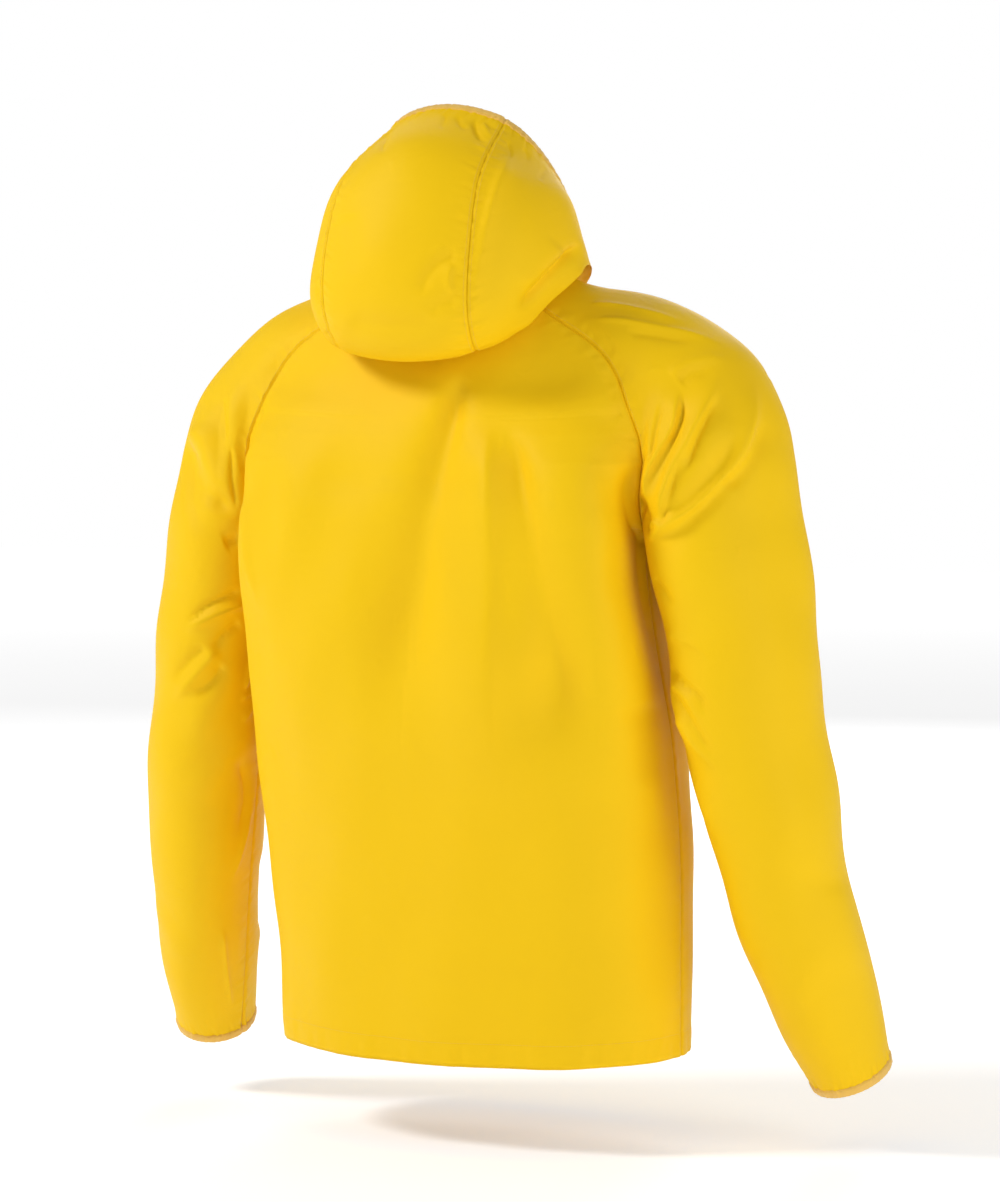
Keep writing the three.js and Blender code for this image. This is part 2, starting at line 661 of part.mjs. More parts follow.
const hoodSidePanel = steps(hoodRows).map((up) => {
  const zip = hoodPlace(up, zipHalfGap, neckBefore, 4);
  const beside = hoodPlace(up, tapeWidth + 1, neckBefore, 4);
  const places = [zip, ...steps(hoodColumns.side - 1).map((t) => mix(beside, hoodSeamPlace(up), t))];
  return places.map((q) => hoodSpot(q, up, (q - zip) / (hoodSeamPlace(up) - zip)));
});

// A flat end of a section, in triangles that turn the way its outline does
function flatEnd(section) {
  const outline = section.map(([a, b]) => new THREE.Vector2(a, b));
  const turn = Math.sign(THREE.ShapeUtils.area(outline));
  return THREE.ShapeUtils.triangulateShape(outline, []).map(([a, b, c]) =>
    Math.sign(THREE.ShapeUtils.area([outline[a], outline[b], outline[c]])) === turn ? [a, b, c] : [a, c, b]);
}

// A tape wrapped round an edge or laid along one: its section, carried from station to station.
// A station is a place with the directions of its section's two axes, or the section's own corners
function tapeAlong(stations, closed) {
  const corners = stations.flatMap(({ p, u, v, section, corners: own }) =>
    own ?? section.map(([a, b]) => p.clone().addScaledVector(u, a).addScaledVector(v, b)));
  const size = stations[0].section.length;
  const faces = [];
  const face = (a, b, c) => faces.push(a, c, b);
  const last = closed ? stations.length : stations.length - 1;
  for (let i = 0; i < last; i += 1) {
    const [here, next] = [i * size, ((i + 1) % stations.length) * size];
    for (let k = 0; k < size; k += 1) {
      const l = (k + 1) % size;
      const [a, b, c, d] = [here + k, here + l, next + l, next + k];
      if (corners[a].distanceTo(corners[c]) < corners[b].distanceTo(corners[d])) {
        face(a, b, c);
        face(a, c, d);
      } else {
        face(b, c, d);
        face(b, d, a);
      }
    }
  }
  if (!closed) {
    const far = (stations.length - 1) * size;
    for (const [a, b, c] of flatEnd(stations[0].section)) face(c, b, a);
    for (const [a, b, c] of flatEnd(stations[stations.length - 1].section)) face(far + a, far + b, far + c);
  }
  return meshShape(corners, faces);
}

// The binding's folded section: along the cloth past its edge, and out from its middle
const bindingSection = (() => {
  const inside = clothWall / 2 + bindingClearance;
  const face = inside + bindingWall;
  const fold = bindingClearance + bindingWall;
  const free = fold - bindingWidth;
  const round = bindingWall * 0.8;
  return [
    [free, face], [free, inside], [bindingClearance, inside], [bindingClearance, -inside], [free, -inside],
    [free, -face], [fold - round, -face], [fold, round - face], [fold, face - round], [fold - round, face],
  ];
})();

// Stations of a binding along the last row of a panel
function edgeStations({ outer, inner }) {
  const last = outer.length - 1;
  return outer[last].map((p, j) => {
    const middle = lerp(p, inner[last][j], 0.5);
    let i = last - 1;
    while (outer[i][j].distanceTo(p) < bindingWidth) i -= 1;
    const above = lerp(outer[i][j], inner[i][j], 0.5);
    const u = middle.clone().sub(above).normalize();
    return { p: middle, u, v: p.clone().sub(inner[last][j]).normalize(), section: bindingSection };
  });
}

// Two stations that face each other over a seam become one
const joined = (a, b) => ({
  ...a, p: lerp(a.p, b.p, 0.5), u: lerp(a.u, b.u, 0.5).normalize(), v: lerp(a.v, b.v, 0.5).normalize(),
});
const mirrorX = ({ x, y, z }) => vec(-x, y, z);
const mirroredStation = (a) => ({ ...a, p: mirrorX(a.p), u: mirrorX(a.u), v: mirrorX(a.v) });

// The zip follows the front panel's edge from the hem up, then the hood's edge to the chin
function zipLine(front, hoodSide) {
  const spots = [];
  const take = (outer, inner, i) => {
    const [a, b] = [outer[i][0], outer[i][1]];
    spots.push({ edge: a, beside: b, out: a.clone().sub(inner[i][0]).setX(0).normalize() });
  };
  for (let i = front.outer.length - 1; i >= 0; i -= 1) take(front.outer, front.inner, i);
  for (let i = 0; i < hoodSide.outer.length; i += 1) take(hoodSide.outer, hoodSide.inner, i);
  let length = 0;
  spots.forEach((spot, i) => {
    if (i > 0) length += spot.edge.distanceTo(spots[i - 1].edge);
    spot.at = length;
  });
  return { spots, length };
}

function zipSpot({ spots }, at) {
  let i = 0;
  while (i < spots.length - 2 && spots[i + 1].at < at) i += 1;
  const t = (at - spots[i].at) / (spots[i + 1].at - spots[i].at);
  const [a, b] = [spots[i], spots[i + 1]];
  return {
    edge: lerp(a.edge, b.edge, t),
    beside: lerp(a.beside, b.beside, t),
    out: lerp(a.out, b.out, t).normalize(),
    along: b.edge.clone().sub(a.edge).setX(0).normalize(),
  };
}

// One side's tape, with its half of the coil as far as the coil goes
function zipStations(line) {
  const coilEnd = line.length - coilEndBelowRim;
  const tapeEnd = line.length - tapeEndBelowRim;
  const step = 0.6;
  const places = [zipStart, coilEnd, coilEnd + step, tapeEnd, ...line.spots.map(({ at }) => at)]
    .filter((at) => at >= zipStart && at <= tapeEnd)
    .sort((a, b) => a - b)
    .filter((at, i, all) => i === 0 || at - all[i - 1] > step / 4);
  return places.map((at) => {
    const spot = zipSpot(line, at);
    const closed = at <= coilEnd + step / 4;
    const slope = spot.beside.clone().sub(spot.edge);
    const across = slope.divideScalar(slope.x);
    const level = vec(1, 0, 0);
    const top = clothWall + tapeGap;
    const bottom = top + tapeWall;
    const [near, coil, rise] = closed
      ? [coilSplit, coilSplit + coilWidth, coilProud]
      : [zipHalfGap, zipHalfGap + 0.4, top - 0.05];
    const corner = (x, depth) => spot.edge.clone()
      .addScaledVector(x > zipHalfGap ? across : level, x - zipHalfGap)
      .addScaledVector(spot.out, -depth);
    const ring = [
      [near, rise], [near, bottom], [tapeWidth, bottom], [tapeWidth, top], [coil, top], [coil, rise],
    ];
    return { corners: ring.map(([x, depth]) => corner(x, depth)), section: ring };
  });
}

// Small metal parts: flat outlines with round corners, given a thickness and joined into one
const wasm = await Module();
wasm.setup();

function plate(halfWidth, low, high, corner) {
  const shape = new THREE.Shape();
  shape.absarc(halfWidth - corner, low + corner, corner, -Math.PI / 2, 0);
  shape.absarc(halfWidth - corner, high - corner, corner, 0, Math.PI / 2);
  shape.absarc(corner - halfWidth, high - corner, corner, Math.PI / 2, Math.PI);
  shape.absarc(corner - halfWidth, low + corner, corner, Math.PI, Math.PI * 1.5);
  return shape;
}

function thick(shape, from, to) {
  const solid = new THREE.ExtrudeGeometry(shape, { depth: to - from, bevelEnabled: false, curveSegments: 3 });
  return solid.translate(0, 0, from);
}

function asManifold(shape) {
  const bare = shape.clone();
  bare.deleteAttribute("normal");
  bare.deleteAttribute("uv");
  const merged = mergeVertices(bare, 1e-4);
  const vertProperties = new Float32Array(merged.attributes.position.array);
  const triVerts = new Uint32Array(merged.index.array);
  return new wasm.Manifold(new wasm.Mesh({ numProp: 3, vertProperties, triVerts }));
}

function joinedShape(shapes) {
  const { vertProperties, triVerts } = shapes.map(asManifold).reduce((a, b) => a.add(b)).getMesh();
  const shape = new THREE.BufferGeometry();
  shape.setAttribute("position", new THREE.Float32BufferAttribute(vertProperties, 3));
  shape.setIndex(Array.from(triVerts));
  shape.computeVertexNormals();
  return shape;
}

// The slider stands where the coil ends: a plate in front, one behind, a post between them above
// the coil, and a bridge on the front plate that the pull tab's bar passes under
function sliderShape() {
  const face = slider.lift + slider.plate;
  const behind = -(clothWall + tapeGap + tapeWall + slider.lift);
  const top = face + bridge.height;
  const roof = top - bridge.wall;
  const arch = new THREE.Shape([
    [bridge.low, face - 0.3], [bridge.low, top - bridge.shoulder], [bridge.low + bridge.shoulder, top],
    [bridge.high - bridge.shoulder, top], [bridge.high, top - bridge.shoulder], [bridge.high, face - 0.3],
    [bridge.high - bridge.wall, face - 0.3], [bridge.high - bridge.wall, roof],
    [bridge.low + bridge.wall, roof], [bridge.low + bridge.wall, face - 0.3],
  ].map(([a, b]) => new THREE.Vector2(a, b)));
  const outline = () => plate(slider.halfWidth, slider.low, slider.high, slider.corner);
  const postOutline = plate(post.halfWidth, post.low, post.high, post.corner);
  const standing = new THREE.Matrix4().makeBasis(vec(0, 1, 0), vec(0, 0, 1), vec(1, 0, 0));
  return joinedShape([
    thick(outline(), slider.lift, face),
    thick(outline(), behind - slider.plate, behind),
    thick(postOutline, behind - slider.plate / 2, face - slider.plate / 2),
    thick(arch, -bridge.halfWidth, bridge.halfWidth).applyMatrix4(standing),
  ]);
}

// The pull tab: a bar under the bridge, two arms past it and the tab below
function pullShape() {
  const half = pull.wall / 2;
  const outline = plate(pull.halfWidth, -pull.length, half, pull.corner / 2);
  const [side, foot] = [pull.windowHalf, -pull.window];
  const window = new THREE.Path([
    [-side, -half], [-side, foot], [side, foot], [side, -half],
  ].map(([a, b]) => new THREE.Vector2(a, b)));
  outline.holes.push(window);
  return thick(outline, -half, half);
}

// The pieces
const windbreaker = new THREE.Group();
const shell = { color: 0xf0c010, roughness: 0.62, metalness: 0 };
const trim = { color: 0xe4ab3c, roughness: 0.75, metalness: 0 };
const zipCloth = { color: 0xd9a514, roughness: 0.8, metalness: 0 };
const metal = { color: 0xcfa63a, roughness: 0.38, metalness: 0.7 };

function add(name, shape, finish) {
  const piece = new THREE.Mesh(shape, new THREE.MeshStandardMaterial(finish));
  piece.name = name;
  windbreaker.add(piece);
  return piece;
}

const back = clothWalls(backPanel, "body", { first: true, last: true, top: true });
const front = clothWalls(frontPanel, "body", { first: false, last: true, top: true });
const sleeve = clothWalls(sleevePanel, "sleeve", { first: true, last: true, top: true });
const hoodMiddle = clothWalls(hoodCentrePanel, "hood", { first: true, last: true, top: true });
const hoodSide = clothWalls(hoodSidePanel, "hood", { first: false, last: true, top: true });

const cuffEdge = edgeStations(sleeve);
const cuffStations = [joined(cuffEdge[0], cuffEdge[sleeveColumns]), ...cuffEdge.slice(1, sleeveColumns)];
const [sideRim, middleRim] = [edgeStations(hoodSide), edgeStations(hoodMiddle)];
const leftRim = [...sideRim.slice(0, -1), joined(sideRim[sideRim.length - 1], middleRim[0])];
const rimStations = [
  ...leftRim,
  ...middleRim.slice(1, -1),
  ...leftRim.map(mirroredStation).reverse(),
].reverse();
const zip = zipLine(front, hoodSide);
const tapeStations = zipStations(zip);

add("back", wallBetween(back, false), shell);
add("hood_centre", wallBetween(hoodMiddle, true), shell);
add("hood_binding", tapeAlong(rimStations, false), trim);
const pairs = [
  { name: "front", shape: wallBetween(front, false), finish: shell },
  { name: "sleeve", shape: wallBetween(sleeve, false), finish: shell },
  { name: "hood", shape: wallBetween(hoodSide, true), finish: shell },
  { name: "cuff_binding", shape: tapeAlong(cuffStations, true), finish: trim },
  { name: "zip_tape", shape: tapeAlong(tapeStations, false), finish: zipCloth },
];
for (const { name, shape, finish } of pairs) {
  add(`${name}_left`, shape, finish);
  add(`${name}_right`, mirroredShape(shape), finish);
}

// The slider lies along the zip, and its pull tab hangs straight down from the bridge
const coilEnd = zipSpot(zip, zip.length - coilEndBelowRim);
const sliderPlace = new THREE.Matrix4()
  .makeBasis(vec(1, 0, 0), coilEnd.along, vec(1, 0, 0).cross(coilEnd.along))
  .setPosition(0, coilEnd.edge.y, coilEnd.edge.z);
add("zip_slider", sliderShape(), metal).applyMatrix4(sliderPlace);
const hingeOut = slider.lift + slider.plate + (bridge.height - bridge.wall) / 2;
const hinge = vec(0, pull.hinge, hingeOut).applyMatrix4(sliderPlace);
const pullPlace = new THREE.Matrix4().makeBasis(vec(1, 0, 0), vec(0, 0, 1), vec(0, -1, 0)).setPosition(hinge);
add("zip_pull", pullShape(), metal).applyMatrix4(pullPlace);

export default windbreaker;
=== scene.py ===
import math

import bmesh
import bpy
import numpy as np
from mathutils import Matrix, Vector


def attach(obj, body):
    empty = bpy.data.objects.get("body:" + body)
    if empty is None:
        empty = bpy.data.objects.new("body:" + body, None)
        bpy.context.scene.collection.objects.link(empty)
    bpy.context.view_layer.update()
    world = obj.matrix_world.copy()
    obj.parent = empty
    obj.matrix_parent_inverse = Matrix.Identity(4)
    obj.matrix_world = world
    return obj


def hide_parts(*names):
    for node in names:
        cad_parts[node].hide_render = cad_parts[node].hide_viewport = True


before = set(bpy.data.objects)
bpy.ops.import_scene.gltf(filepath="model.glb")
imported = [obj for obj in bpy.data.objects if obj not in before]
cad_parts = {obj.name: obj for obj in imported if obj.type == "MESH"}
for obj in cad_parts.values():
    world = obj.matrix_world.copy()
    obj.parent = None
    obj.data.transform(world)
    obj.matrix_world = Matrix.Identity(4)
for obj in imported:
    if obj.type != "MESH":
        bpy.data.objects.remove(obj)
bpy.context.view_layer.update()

mm = 0.001
sewn = "jacket"  # the body that all the cloth rides on

# The photograph's camera: the jacket is seen from behind and from the wearer's right
view = {
    "azimuth": 208,
    "elevation": 3.5,
    "distance": 4000,  # mm
    "target": (-11.3, -6.0, -276.0),
    "across": 917.4,  # mm seen across the picture at the target
    "width": 1000,  # the picture, in pixels
    "height": 1202,
}


# Sections of the jacket
def asTable(names, rows):
    return dict(zip(names.split(), np.array(rows, float).T))


torso = asTable("z width back front middle square press", [
    (-720, 200, 117, 112, -1, 2.25, 0),
    (-600, 203, 120, 115, 6, 2.25, 0),
    (-500, 206, 123, 118, 14, 2.3, 0),
    (-400, 208, 126, 121, 27, 2.5, 4),
    (-300, 206, 127, 120, 38, 3.3, 12),
    (-215, 203, 123, 114, 42, 3.9, 17),
    (-150, 197, 114, 106, 43, 3.4, 12),
    (-100, 180, 102, 97, 42, 2.6, 3),
    (-60, 146, 90, 88, 40, 2.1, 0),
    (-20, 104, 76, 76, 37, 2, 0),
    (20, 80, 64, 68, 34, 2, 0),
    (70, 66, 54, 58, 32, 2, 0),
])

arm = asTable("n x y z out deep turn", [(n, *row) for n, row in enumerate([
    (66, 42, -36, 50, 46, 0),
    (120, 26, -54, 62, 60, 4),
    (170, 9, -72, 69, 72, 14),
    (215, 8, -104, 69, 77, 22),
    (240, 19, -152, 63, 77, 26),
    (254, 27, -204, 57, 77, 25),
    (265, 28, -262, 57, 75, 25),
    (275, 26, -330, 57, 71, 25),
    (287, 18, -412, 56, 67, 22),
    (299, 5, -490, 54, 62, 20),
    (311, -14, -560, 50, 57, 18),
    (324, -41, -630, 45, 50, 14),
    (336, -71, -696, 37, 39, 8),
])])

raglanLine = asTable("along x behind before", [
    (0, 60, 14, -14),
    (0.22, 108, -14, -40),
    (0.45, 162, -52, -76),
    (0.7, 197, -118, -126),
    (0.8, 202, -144, -146),
])

# Rings of the hood from the neck seam (0) to the face opening (1), at five places round its left half
hoodUps = (0, 0.1, 0.22, 0.4, 0.6, 0.8, 1)
hoodRings = [
    [(0, 100, 2), (0, 124, -22), (0, 158, -56), (0, 190, -22), (0, 194, 50), (0, 158, 126), (0, 78, 173)],
    [(60, 84, 14), (71, 99, 4), (85, 126, -37), (93, 152, -6), (93, 147, 48), (80, 126, 108), (60, 62, 156)],
    [(84, 34, 34), (97, 34, 45), (120, 36, 28), (122, 48, 42), (116, 52, 68), (104, 40, 90), (84, 8, 98)],
    [(58, -20, -14), (67, -25, -6), (78, -27, 2), (85, -23, 11), (84, -20, 24), (77, -23, 37), (69, -33, 49)],
    [(0, -40, -46), (0, -42, -36), (0, -45, -24), (0, -48, -10), (0, -51, 2), (0, -53, 12), (0, -55, 22)],
]
hoodCentre = asTable("up half", [(0, 46), (0.22, 66), (0.5, 73), (0.8, 68), (1, 55)])

cut = {
    "shoulderBlend": 50,
    "armpitBlend": 8,
    "armpitHeight": -206,
    "underarmFade": 30,
    "sleeveSeamAngle": 158,
    "hem": -681,
    "hemDropBack": 6,
    "hemRiseFront": 6,
    "creaseFrom": 0.8,
    "creaseBehind": 88,
    "creaseBefore": -24,
    "creaseLowest": 50,
    "pressMiddle": 96,
    "pressHalf": 34,
    "neckBehind": 1,
    "neckBefore": 3,
    "neckReach": 0.3,
    "zipHalfGap": 3.2,
}

# How finely the panels are divided
fine = {"raglan": 110, "side": 120, "arm": 196, "back": 180, "front": 96, "sleeve": 216, "hood": 180,
        "hoodCentre": 96, "hoodSide": 132}
raglanUnits, sideUnits = 11, 14


def ease(low, high, v):
    t = np.clip((np.asarray(v, float) - low) / (high - low), 0, 1)
    return t * t * (3 - 2 * t)


def mix(a, b, t):
    return a + (b - a) * t


def unit(v):
    return v / np.maximum(np.linalg.norm(v, axis=-1, keepdims=True), 1e-9)


def readTable(table, key, column, at):
    keys, values = table[key], table[column]
    at = np.asarray(at, float)
    sign = 1 if keys[1] > keys[0] else -1
    i = np.clip(np.searchsorted(sign * keys, sign * at, side="right") - 1, 0, len(keys) - 2)
    n = np.arange(len(keys))
    before, after = np.maximum(n - 1, 0), np.minimum(n + 1, len(keys) - 1)
    slopes = (values[after] - values[before]) / (keys[after] - keys[before])
    span = keys[i + 1] - keys[i]
    t = np.clip((at - keys[i]) / span, 0, 1)
    t2, t3 = t * t, t * t * t
    return ((2 * t3 - 3 * t2 + 1) * values[i] + (t3 - 2 * t2 + t) * span * slopes[i]
            + (3 * t2 - 2 * t3) * values[i + 1] + (t3 - t2) * span * slopes[i + 1])


def torsoReach(angle, z):
    width = readTable(torso, "z", "width", z)
    depth = np.where(np.cos(angle) > 0, readTable(torso, "z", "back", z), readTable(torso, "z", "front", z))
    square = readTable(torso, "z", "square", z)
    share = np.abs(np.sin(angle) / width) ** square + np.abs(np.cos(angle) / depth) ** square
    aside = (np.degrees(np.abs(angle)) - cut["pressMiddle"]) / cut["pressHalf"]
    press = readTable(torso, "z", "press", z) * np.maximum(1 - aside * aside, 0) ** 2
    return share ** (-1 / square) - press


def outsideTorso(p):
    middle = readTable(torso, "z", "middle", p[..., 2])
    dy = p[..., 1] - middle
    return np.hypot(p[..., 0], dy) - torsoReach(np.arctan2(p[..., 0], dy), p[..., 2])


armLast = len(arm["n"]) - 1


def armPoint(u):
    return np.stack([readTable(arm, "n", c, u) for c in "xyz"], -1)


def armFrame(u):
    down = unit(armPoint(np.minimum(u + 0.1, armLast)) - armPoint(np.maximum(u - 0.1, 0)))
    level = unit(np.array([0.0, 1.0, 0.0]) - down * down[..., 1:2])
    turn = np.radians(-readTable(arm, "n", "turn", u))[..., None]
    back = level * np.cos(turn) + np.cross(down, level) * np.sin(turn)
    return armPoint(u), down, back, np.cross(down, back)


armSpots = armPoint(np.linspace(0, armLast, 61))


def nearestOnArm(p, u=None):
    if u is None:
        a, b = armSpots[:-1], armSpots[1:]
        line = b - a
        flat = p.reshape(-1, 3)
        found = []
        for start in range(0, len(flat), 20000):
            d = flat[start:start + 20000, None, :] - a
            t = np.clip((d * line).sum(-1) / (line * line).sum(-1), 0, 1)
            gap = ((d - line * t[..., None]) ** 2).sum(-1)
            i = gap.argmin(1)
            found.append((i + t[np.arange(len(i)), i]) / 5)
        u = np.concatenate(found).reshape(p.shape[:-1])
    for _ in range(2):
        e = 0.05
        along = (armPoint(np.minimum(u + e, armLast)) - armPoint(np.maximum(u - e, 0))) / (
            np.minimum(u + e, armLast) - np.maximum(u - e, 0))[..., None]
        move = ((p - armPoint(u)) * along).sum(-1) / (along * along).sum(-1)
        u = np.clip(u + np.clip(move, -0.3, 0.3), 0, armLast)
    return u


def outsideArm(p, u):
    spot, down, back, out = armFrame(u)
    d = p - spot
    outSize, deepSize = readTable(arm, "n", "out", u), readTable(arm, "n", "deep", u)
    share = np.sqrt(((d * out).sum(-1) / outSize) ** 2 + ((d * back).sum(-1) / deepSize) ** 2
                    + ((d * down).sum(-1) / outSize) ** 2)
    return np.linalg.norm(d, axis=-1) * (1 - 1 / np.maximum(share, 1e-6))


underarm = None


def outside(p, piece, u=None):
    u = nearestOnArm(p, u)
    a, b = outsideTorso(p), outsideArm(p, u)
    blend = mix(cut["armpitBlend"], cut["shoulderBlend"], ease(cut["armpitHeight"], cut["armpitHeight"] + 130, p[..., 2]))
    h = np.maximum(blend - np.abs(a - b), 0) / blend
    both = np.minimum(a, b) - h * h * blend / 4
    if piece == "both":
        return both
    below = underarm[2] - p[..., 2]
    fade = 1 - ease(0, cut["underarmFade"], below)
    own = (a if piece == "body" else b) - fade * h * h * blend / 4
    return np.where(below < 0, both, own)


def slopeAt(p, piece, u):
    e = 0.5
    corners = np.array([(1, -1, -1), (-1, -1, 1), (-1, 1, -1), (1, 1, 1)], float)
    return sum(k * outside(p + k * e, piece, u)[..., None] for k in corners) / (4 * e)


def settle(p, piece):
    p = p.copy()
    u = nearestOnArm(p)
    for _ in range(5):
        slope = slopeAt(p, piece, u)
        u = nearestOnArm(p, u)
        move = -outside(p, piece, u) / np.maximum((slope ** 2).sum(-1), 0.25)
        p += slope * np.clip(move, -14, 14)[..., None]
    return p


def crease(y):
    xs = np.arange(170, 241, 1.0)
    inside, clear = np.full(y.shape, cut["armpitHeight"] + 90.0), np.full(y.shape, cut["armpitHeight"] - 60.0)
    grid = np.zeros((*y.shape, len(xs), 3))
    grid[..., 0], grid[..., 1] = xs, y[..., None]
    for _ in range(16):
        half = (inside + clear) / 2
        grid[..., 2] = half[..., None]
        gap = outside(grid, "both").max(-1)
        inside, clear = np.where(gap < 0, half, inside), np.where(gap < 0, clear, half)
    grid[..., 2] = inside[..., None]
    return np.stack([xs[outside(grid, "both").argmax(-1)], y, inside], -1)


underarm = crease(np.array([cut["creaseLowest"]], float))[0]


def hoodStation(up, n):
    k = 8 - abs(n) if abs(n) > 4 else abs(n)
    side = -1 if (n < 0) != (abs(n) > 4) else 1
    points = np.array(hoodRings[k], float)
    column = {"up": np.array(hoodUps), "x": points[:, 0], "y": points[:, 1], "z": points[:, 2]}
    spot = np.stack([readTable(column, "up", c, up) for c in "xyz"], -1)
    return spot * (side, 1, 1)


def hoodPoint(q, up):
    q, up = np.broadcast_arrays(np.asarray(q, float), np.asarray(up, float))
    stations = np.stack([hoodStation(up, n) for n in range(-5, 7)])
    i = np.clip(np.floor(q).astype(int), -4, 3)
    t = (q - i)[..., None]
    k, l, m, n = [np.take_along_axis(stations, (i + 5 + step)[None, ..., None], 0)[0] for step in (-1, 0, 1, 2)]
    return l + ((m - k) * t + (2 * k - 5 * l + 4 * m - n) * t ** 2 + (3 * l - k - 3 * m + n) * t ** 3) / 2


def hoodOutward(q, up):
    e = 0.01
    across = hoodPoint(q + e, up) - hoodPoint(q - e, up)
    rise = hoodPoint(q, np.minimum(up + e, 1)) - hoodPoint(q, np.maximum(up - e, 0))
    return unit(np.cross(rise, across))


def hoodPlace(up, x, low, high):
    low, high = np.full(up.shape, float(low)), np.full(up.shape, float(high))
    rising = hoodPoint(high, up)[..., 0] > hoodPoint(low, up)[..., 0]
    for _ in range(22):
        half = (low + high) / 2
        less = (hoodPoint(half, up)[..., 0] < x) == rising
        low, high = np.where(less, half, low), np.where(less, high, half)
    return (low + high) / 2


def leave(start, direction):
    far = np.zeros(start.shape[:-1])
    stillInside = np.ones(far.shape, bool)
    while stillInside.any():
        far = far + 5 * stillInside
        stillInside &= outside(start + direction * far[..., None], "both") < 0
    near = far - 5
    for _ in range(14):
        half = (near + far) / 2
        inner = outside(start + direction * half[..., None], "both") < 0
        near, far = np.where(inner, half, near), np.where(inner, far, half)
    return start + direction * ((near + far) / 2)[..., None]


def raglan(side, along):
    direction = np.array([0.0, 1.0 if side == "behind" else -1.0, 0.0])

    def cast(t):
        z = readTable(raglanLine, "along", side, t)
        start = np.stack([readTable(raglanLine, "along", "x", t), readTable(torso, "z", "middle", z), z], -1)
        return leave(start, direction)

    neck = hoodPoint(cut["neckBehind" if side == "behind" else "neckBefore"], 0)
    upper = cast(along) + (neck - cast(np.zeros(1))[0]) * (1 - ease(0, cut["neckReach"], along))[..., None]
    inCrease = np.clip((along - cut["creaseFrom"]) / (1 - cut["creaseFrom"]), 0, 1)
    edge = cut["creaseBehind" if side == "behind" else "creaseBefore"]
    low = crease(mix(edge, cut["creaseLowest"], inCrease))
    last = cast(np.array([cut["creaseFrom"]]))[0]
    lower = settle(last + (low - last) * ease(0, 0.6, inCrease)[..., None], "both")
    seam = np.where((inCrease > 0)[..., None], lower, upper)
    seam[along >= 1] = underarm
    return seam


def sideSeam(down):
    z = mix(underarm[2], cut["hem"], down)
    spread = 1 - ease(0, 0.07, down)
    x = mix(torsoReach(np.full(z.shape, np.pi / 2), z), underarm[0], spread)
    y = mix(readTable(torso, "z", "middle", z), underarm[1], 1 - ease(0, 0.4, down))
    return np.stack([x, y, z], -1)


underarmU = nearestOnArm(underarm[None])[0]


def armSeam(down):
    u = mix(underarmU, armLast, down)
    spot, _, back, out = armFrame(u)
    start, _, startBack, startOut = armFrame(np.array([underarmU]))
    away = underarm - start[0]
    first = math.atan2(away @ startBack[0], away @ startOut[0]) % (2 * math.pi)

    def onSleeve(angle, u, out, back):
        reach = np.hypot(np.cos(angle) / readTable(arm, "n", "out", u), np.sin(angle) / readTable(arm, "n", "deep", u))
        return out * (np.cos(angle) / reach)[..., None] + back * (np.sin(angle) / reach)[..., None]

    angle = mix(first, math.radians(cut["sleeveSeamAngle"]), ease(0, 0.35, down))
    begin = onSleeve(np.array([first]), np.array([underarmU]), startOut, startBack)[0]
    return spot + onSleeve(angle, u, out, back) + (away - begin) * (1 - ease(0, 0.07, down))[..., None]


# Panels as grids of points: rows from the neck down, or up the hood, and columns across
def crowded(count, share=0.5):
    s = np.linspace(0, 1, count + 1)
    return s - share * np.sin(2 * np.pi * s) / (2 * np.pi)  # closer together at both edges


def meetSeams(points, s, first, last):
    out = points.copy()
    if first is not None:
        out += (first - points[:, 0])[:, None] * ((1 - s) ** 3)[..., None]
    if last is not None:
        out += (last - points[:, -1])[:, None] * (s ** 3)[..., None]
    return out


underarmSmooth = {"rows": 10, "rounds": 60}


def evened(points):
    # irons out the bend in the panel's columns where they pass the underarm
    away = (np.arange(len(points)) - fine["raglan"]) / underarmSmooth["rows"]
    weight = 0.5 * np.exp(-away ** 2)[1:-1, None, None]
    for _ in range(underarmSmooth["rounds"]):
        middle = (points[:-2] + points[2:]) / 2 - points[1:-1]
        points[1:-1, 1:-1] += weight * middle[:, 1:-1]
    return points


def meetNeck(points, neck, share):
    hold = 1 - ease(0, cut["neckReach"], share)
    return points + (neck - points[0])[None] * hold[:, None, None]


raglanSteps = 1 - (1 - np.linspace(0, 1, fine["raglan"] + 1)) ** 1.35
rowUnits = np.concatenate([np.linspace(0, raglanUnits, fine["raglan"] + 1),
                           raglanUnits + np.linspace(0, sideUnits, fine["side"] + 1)[1:]])
raglanBehind, raglanBefore = raglan("behind", raglanSteps), raglan("before", raglanSteps)
side = sideSeam(np.linspace(0, 1, fine["side"] + 1)[1:])


def middleHeight(top, bottom):
    level = underarm[2] - 2
    t = rowUnits / raglanUnits
    return np.where(t <= 1, mix(top, level, t), mix(level, bottom, (rowUnits - raglanUnits) / sideUnits))


def angleOf(p):
    return np.arctan2(p[..., 0], p[..., 1] - readTable(torso, "z", "middle", p[..., 2]))


def bodyPlace(angle, z):
    reach, middle = torsoReach(angle, z), readTable(torso, "z", "middle", z)
    return settle(np.stack([reach * np.sin(angle), middle + reach * np.cos(angle), z], -1), "body")


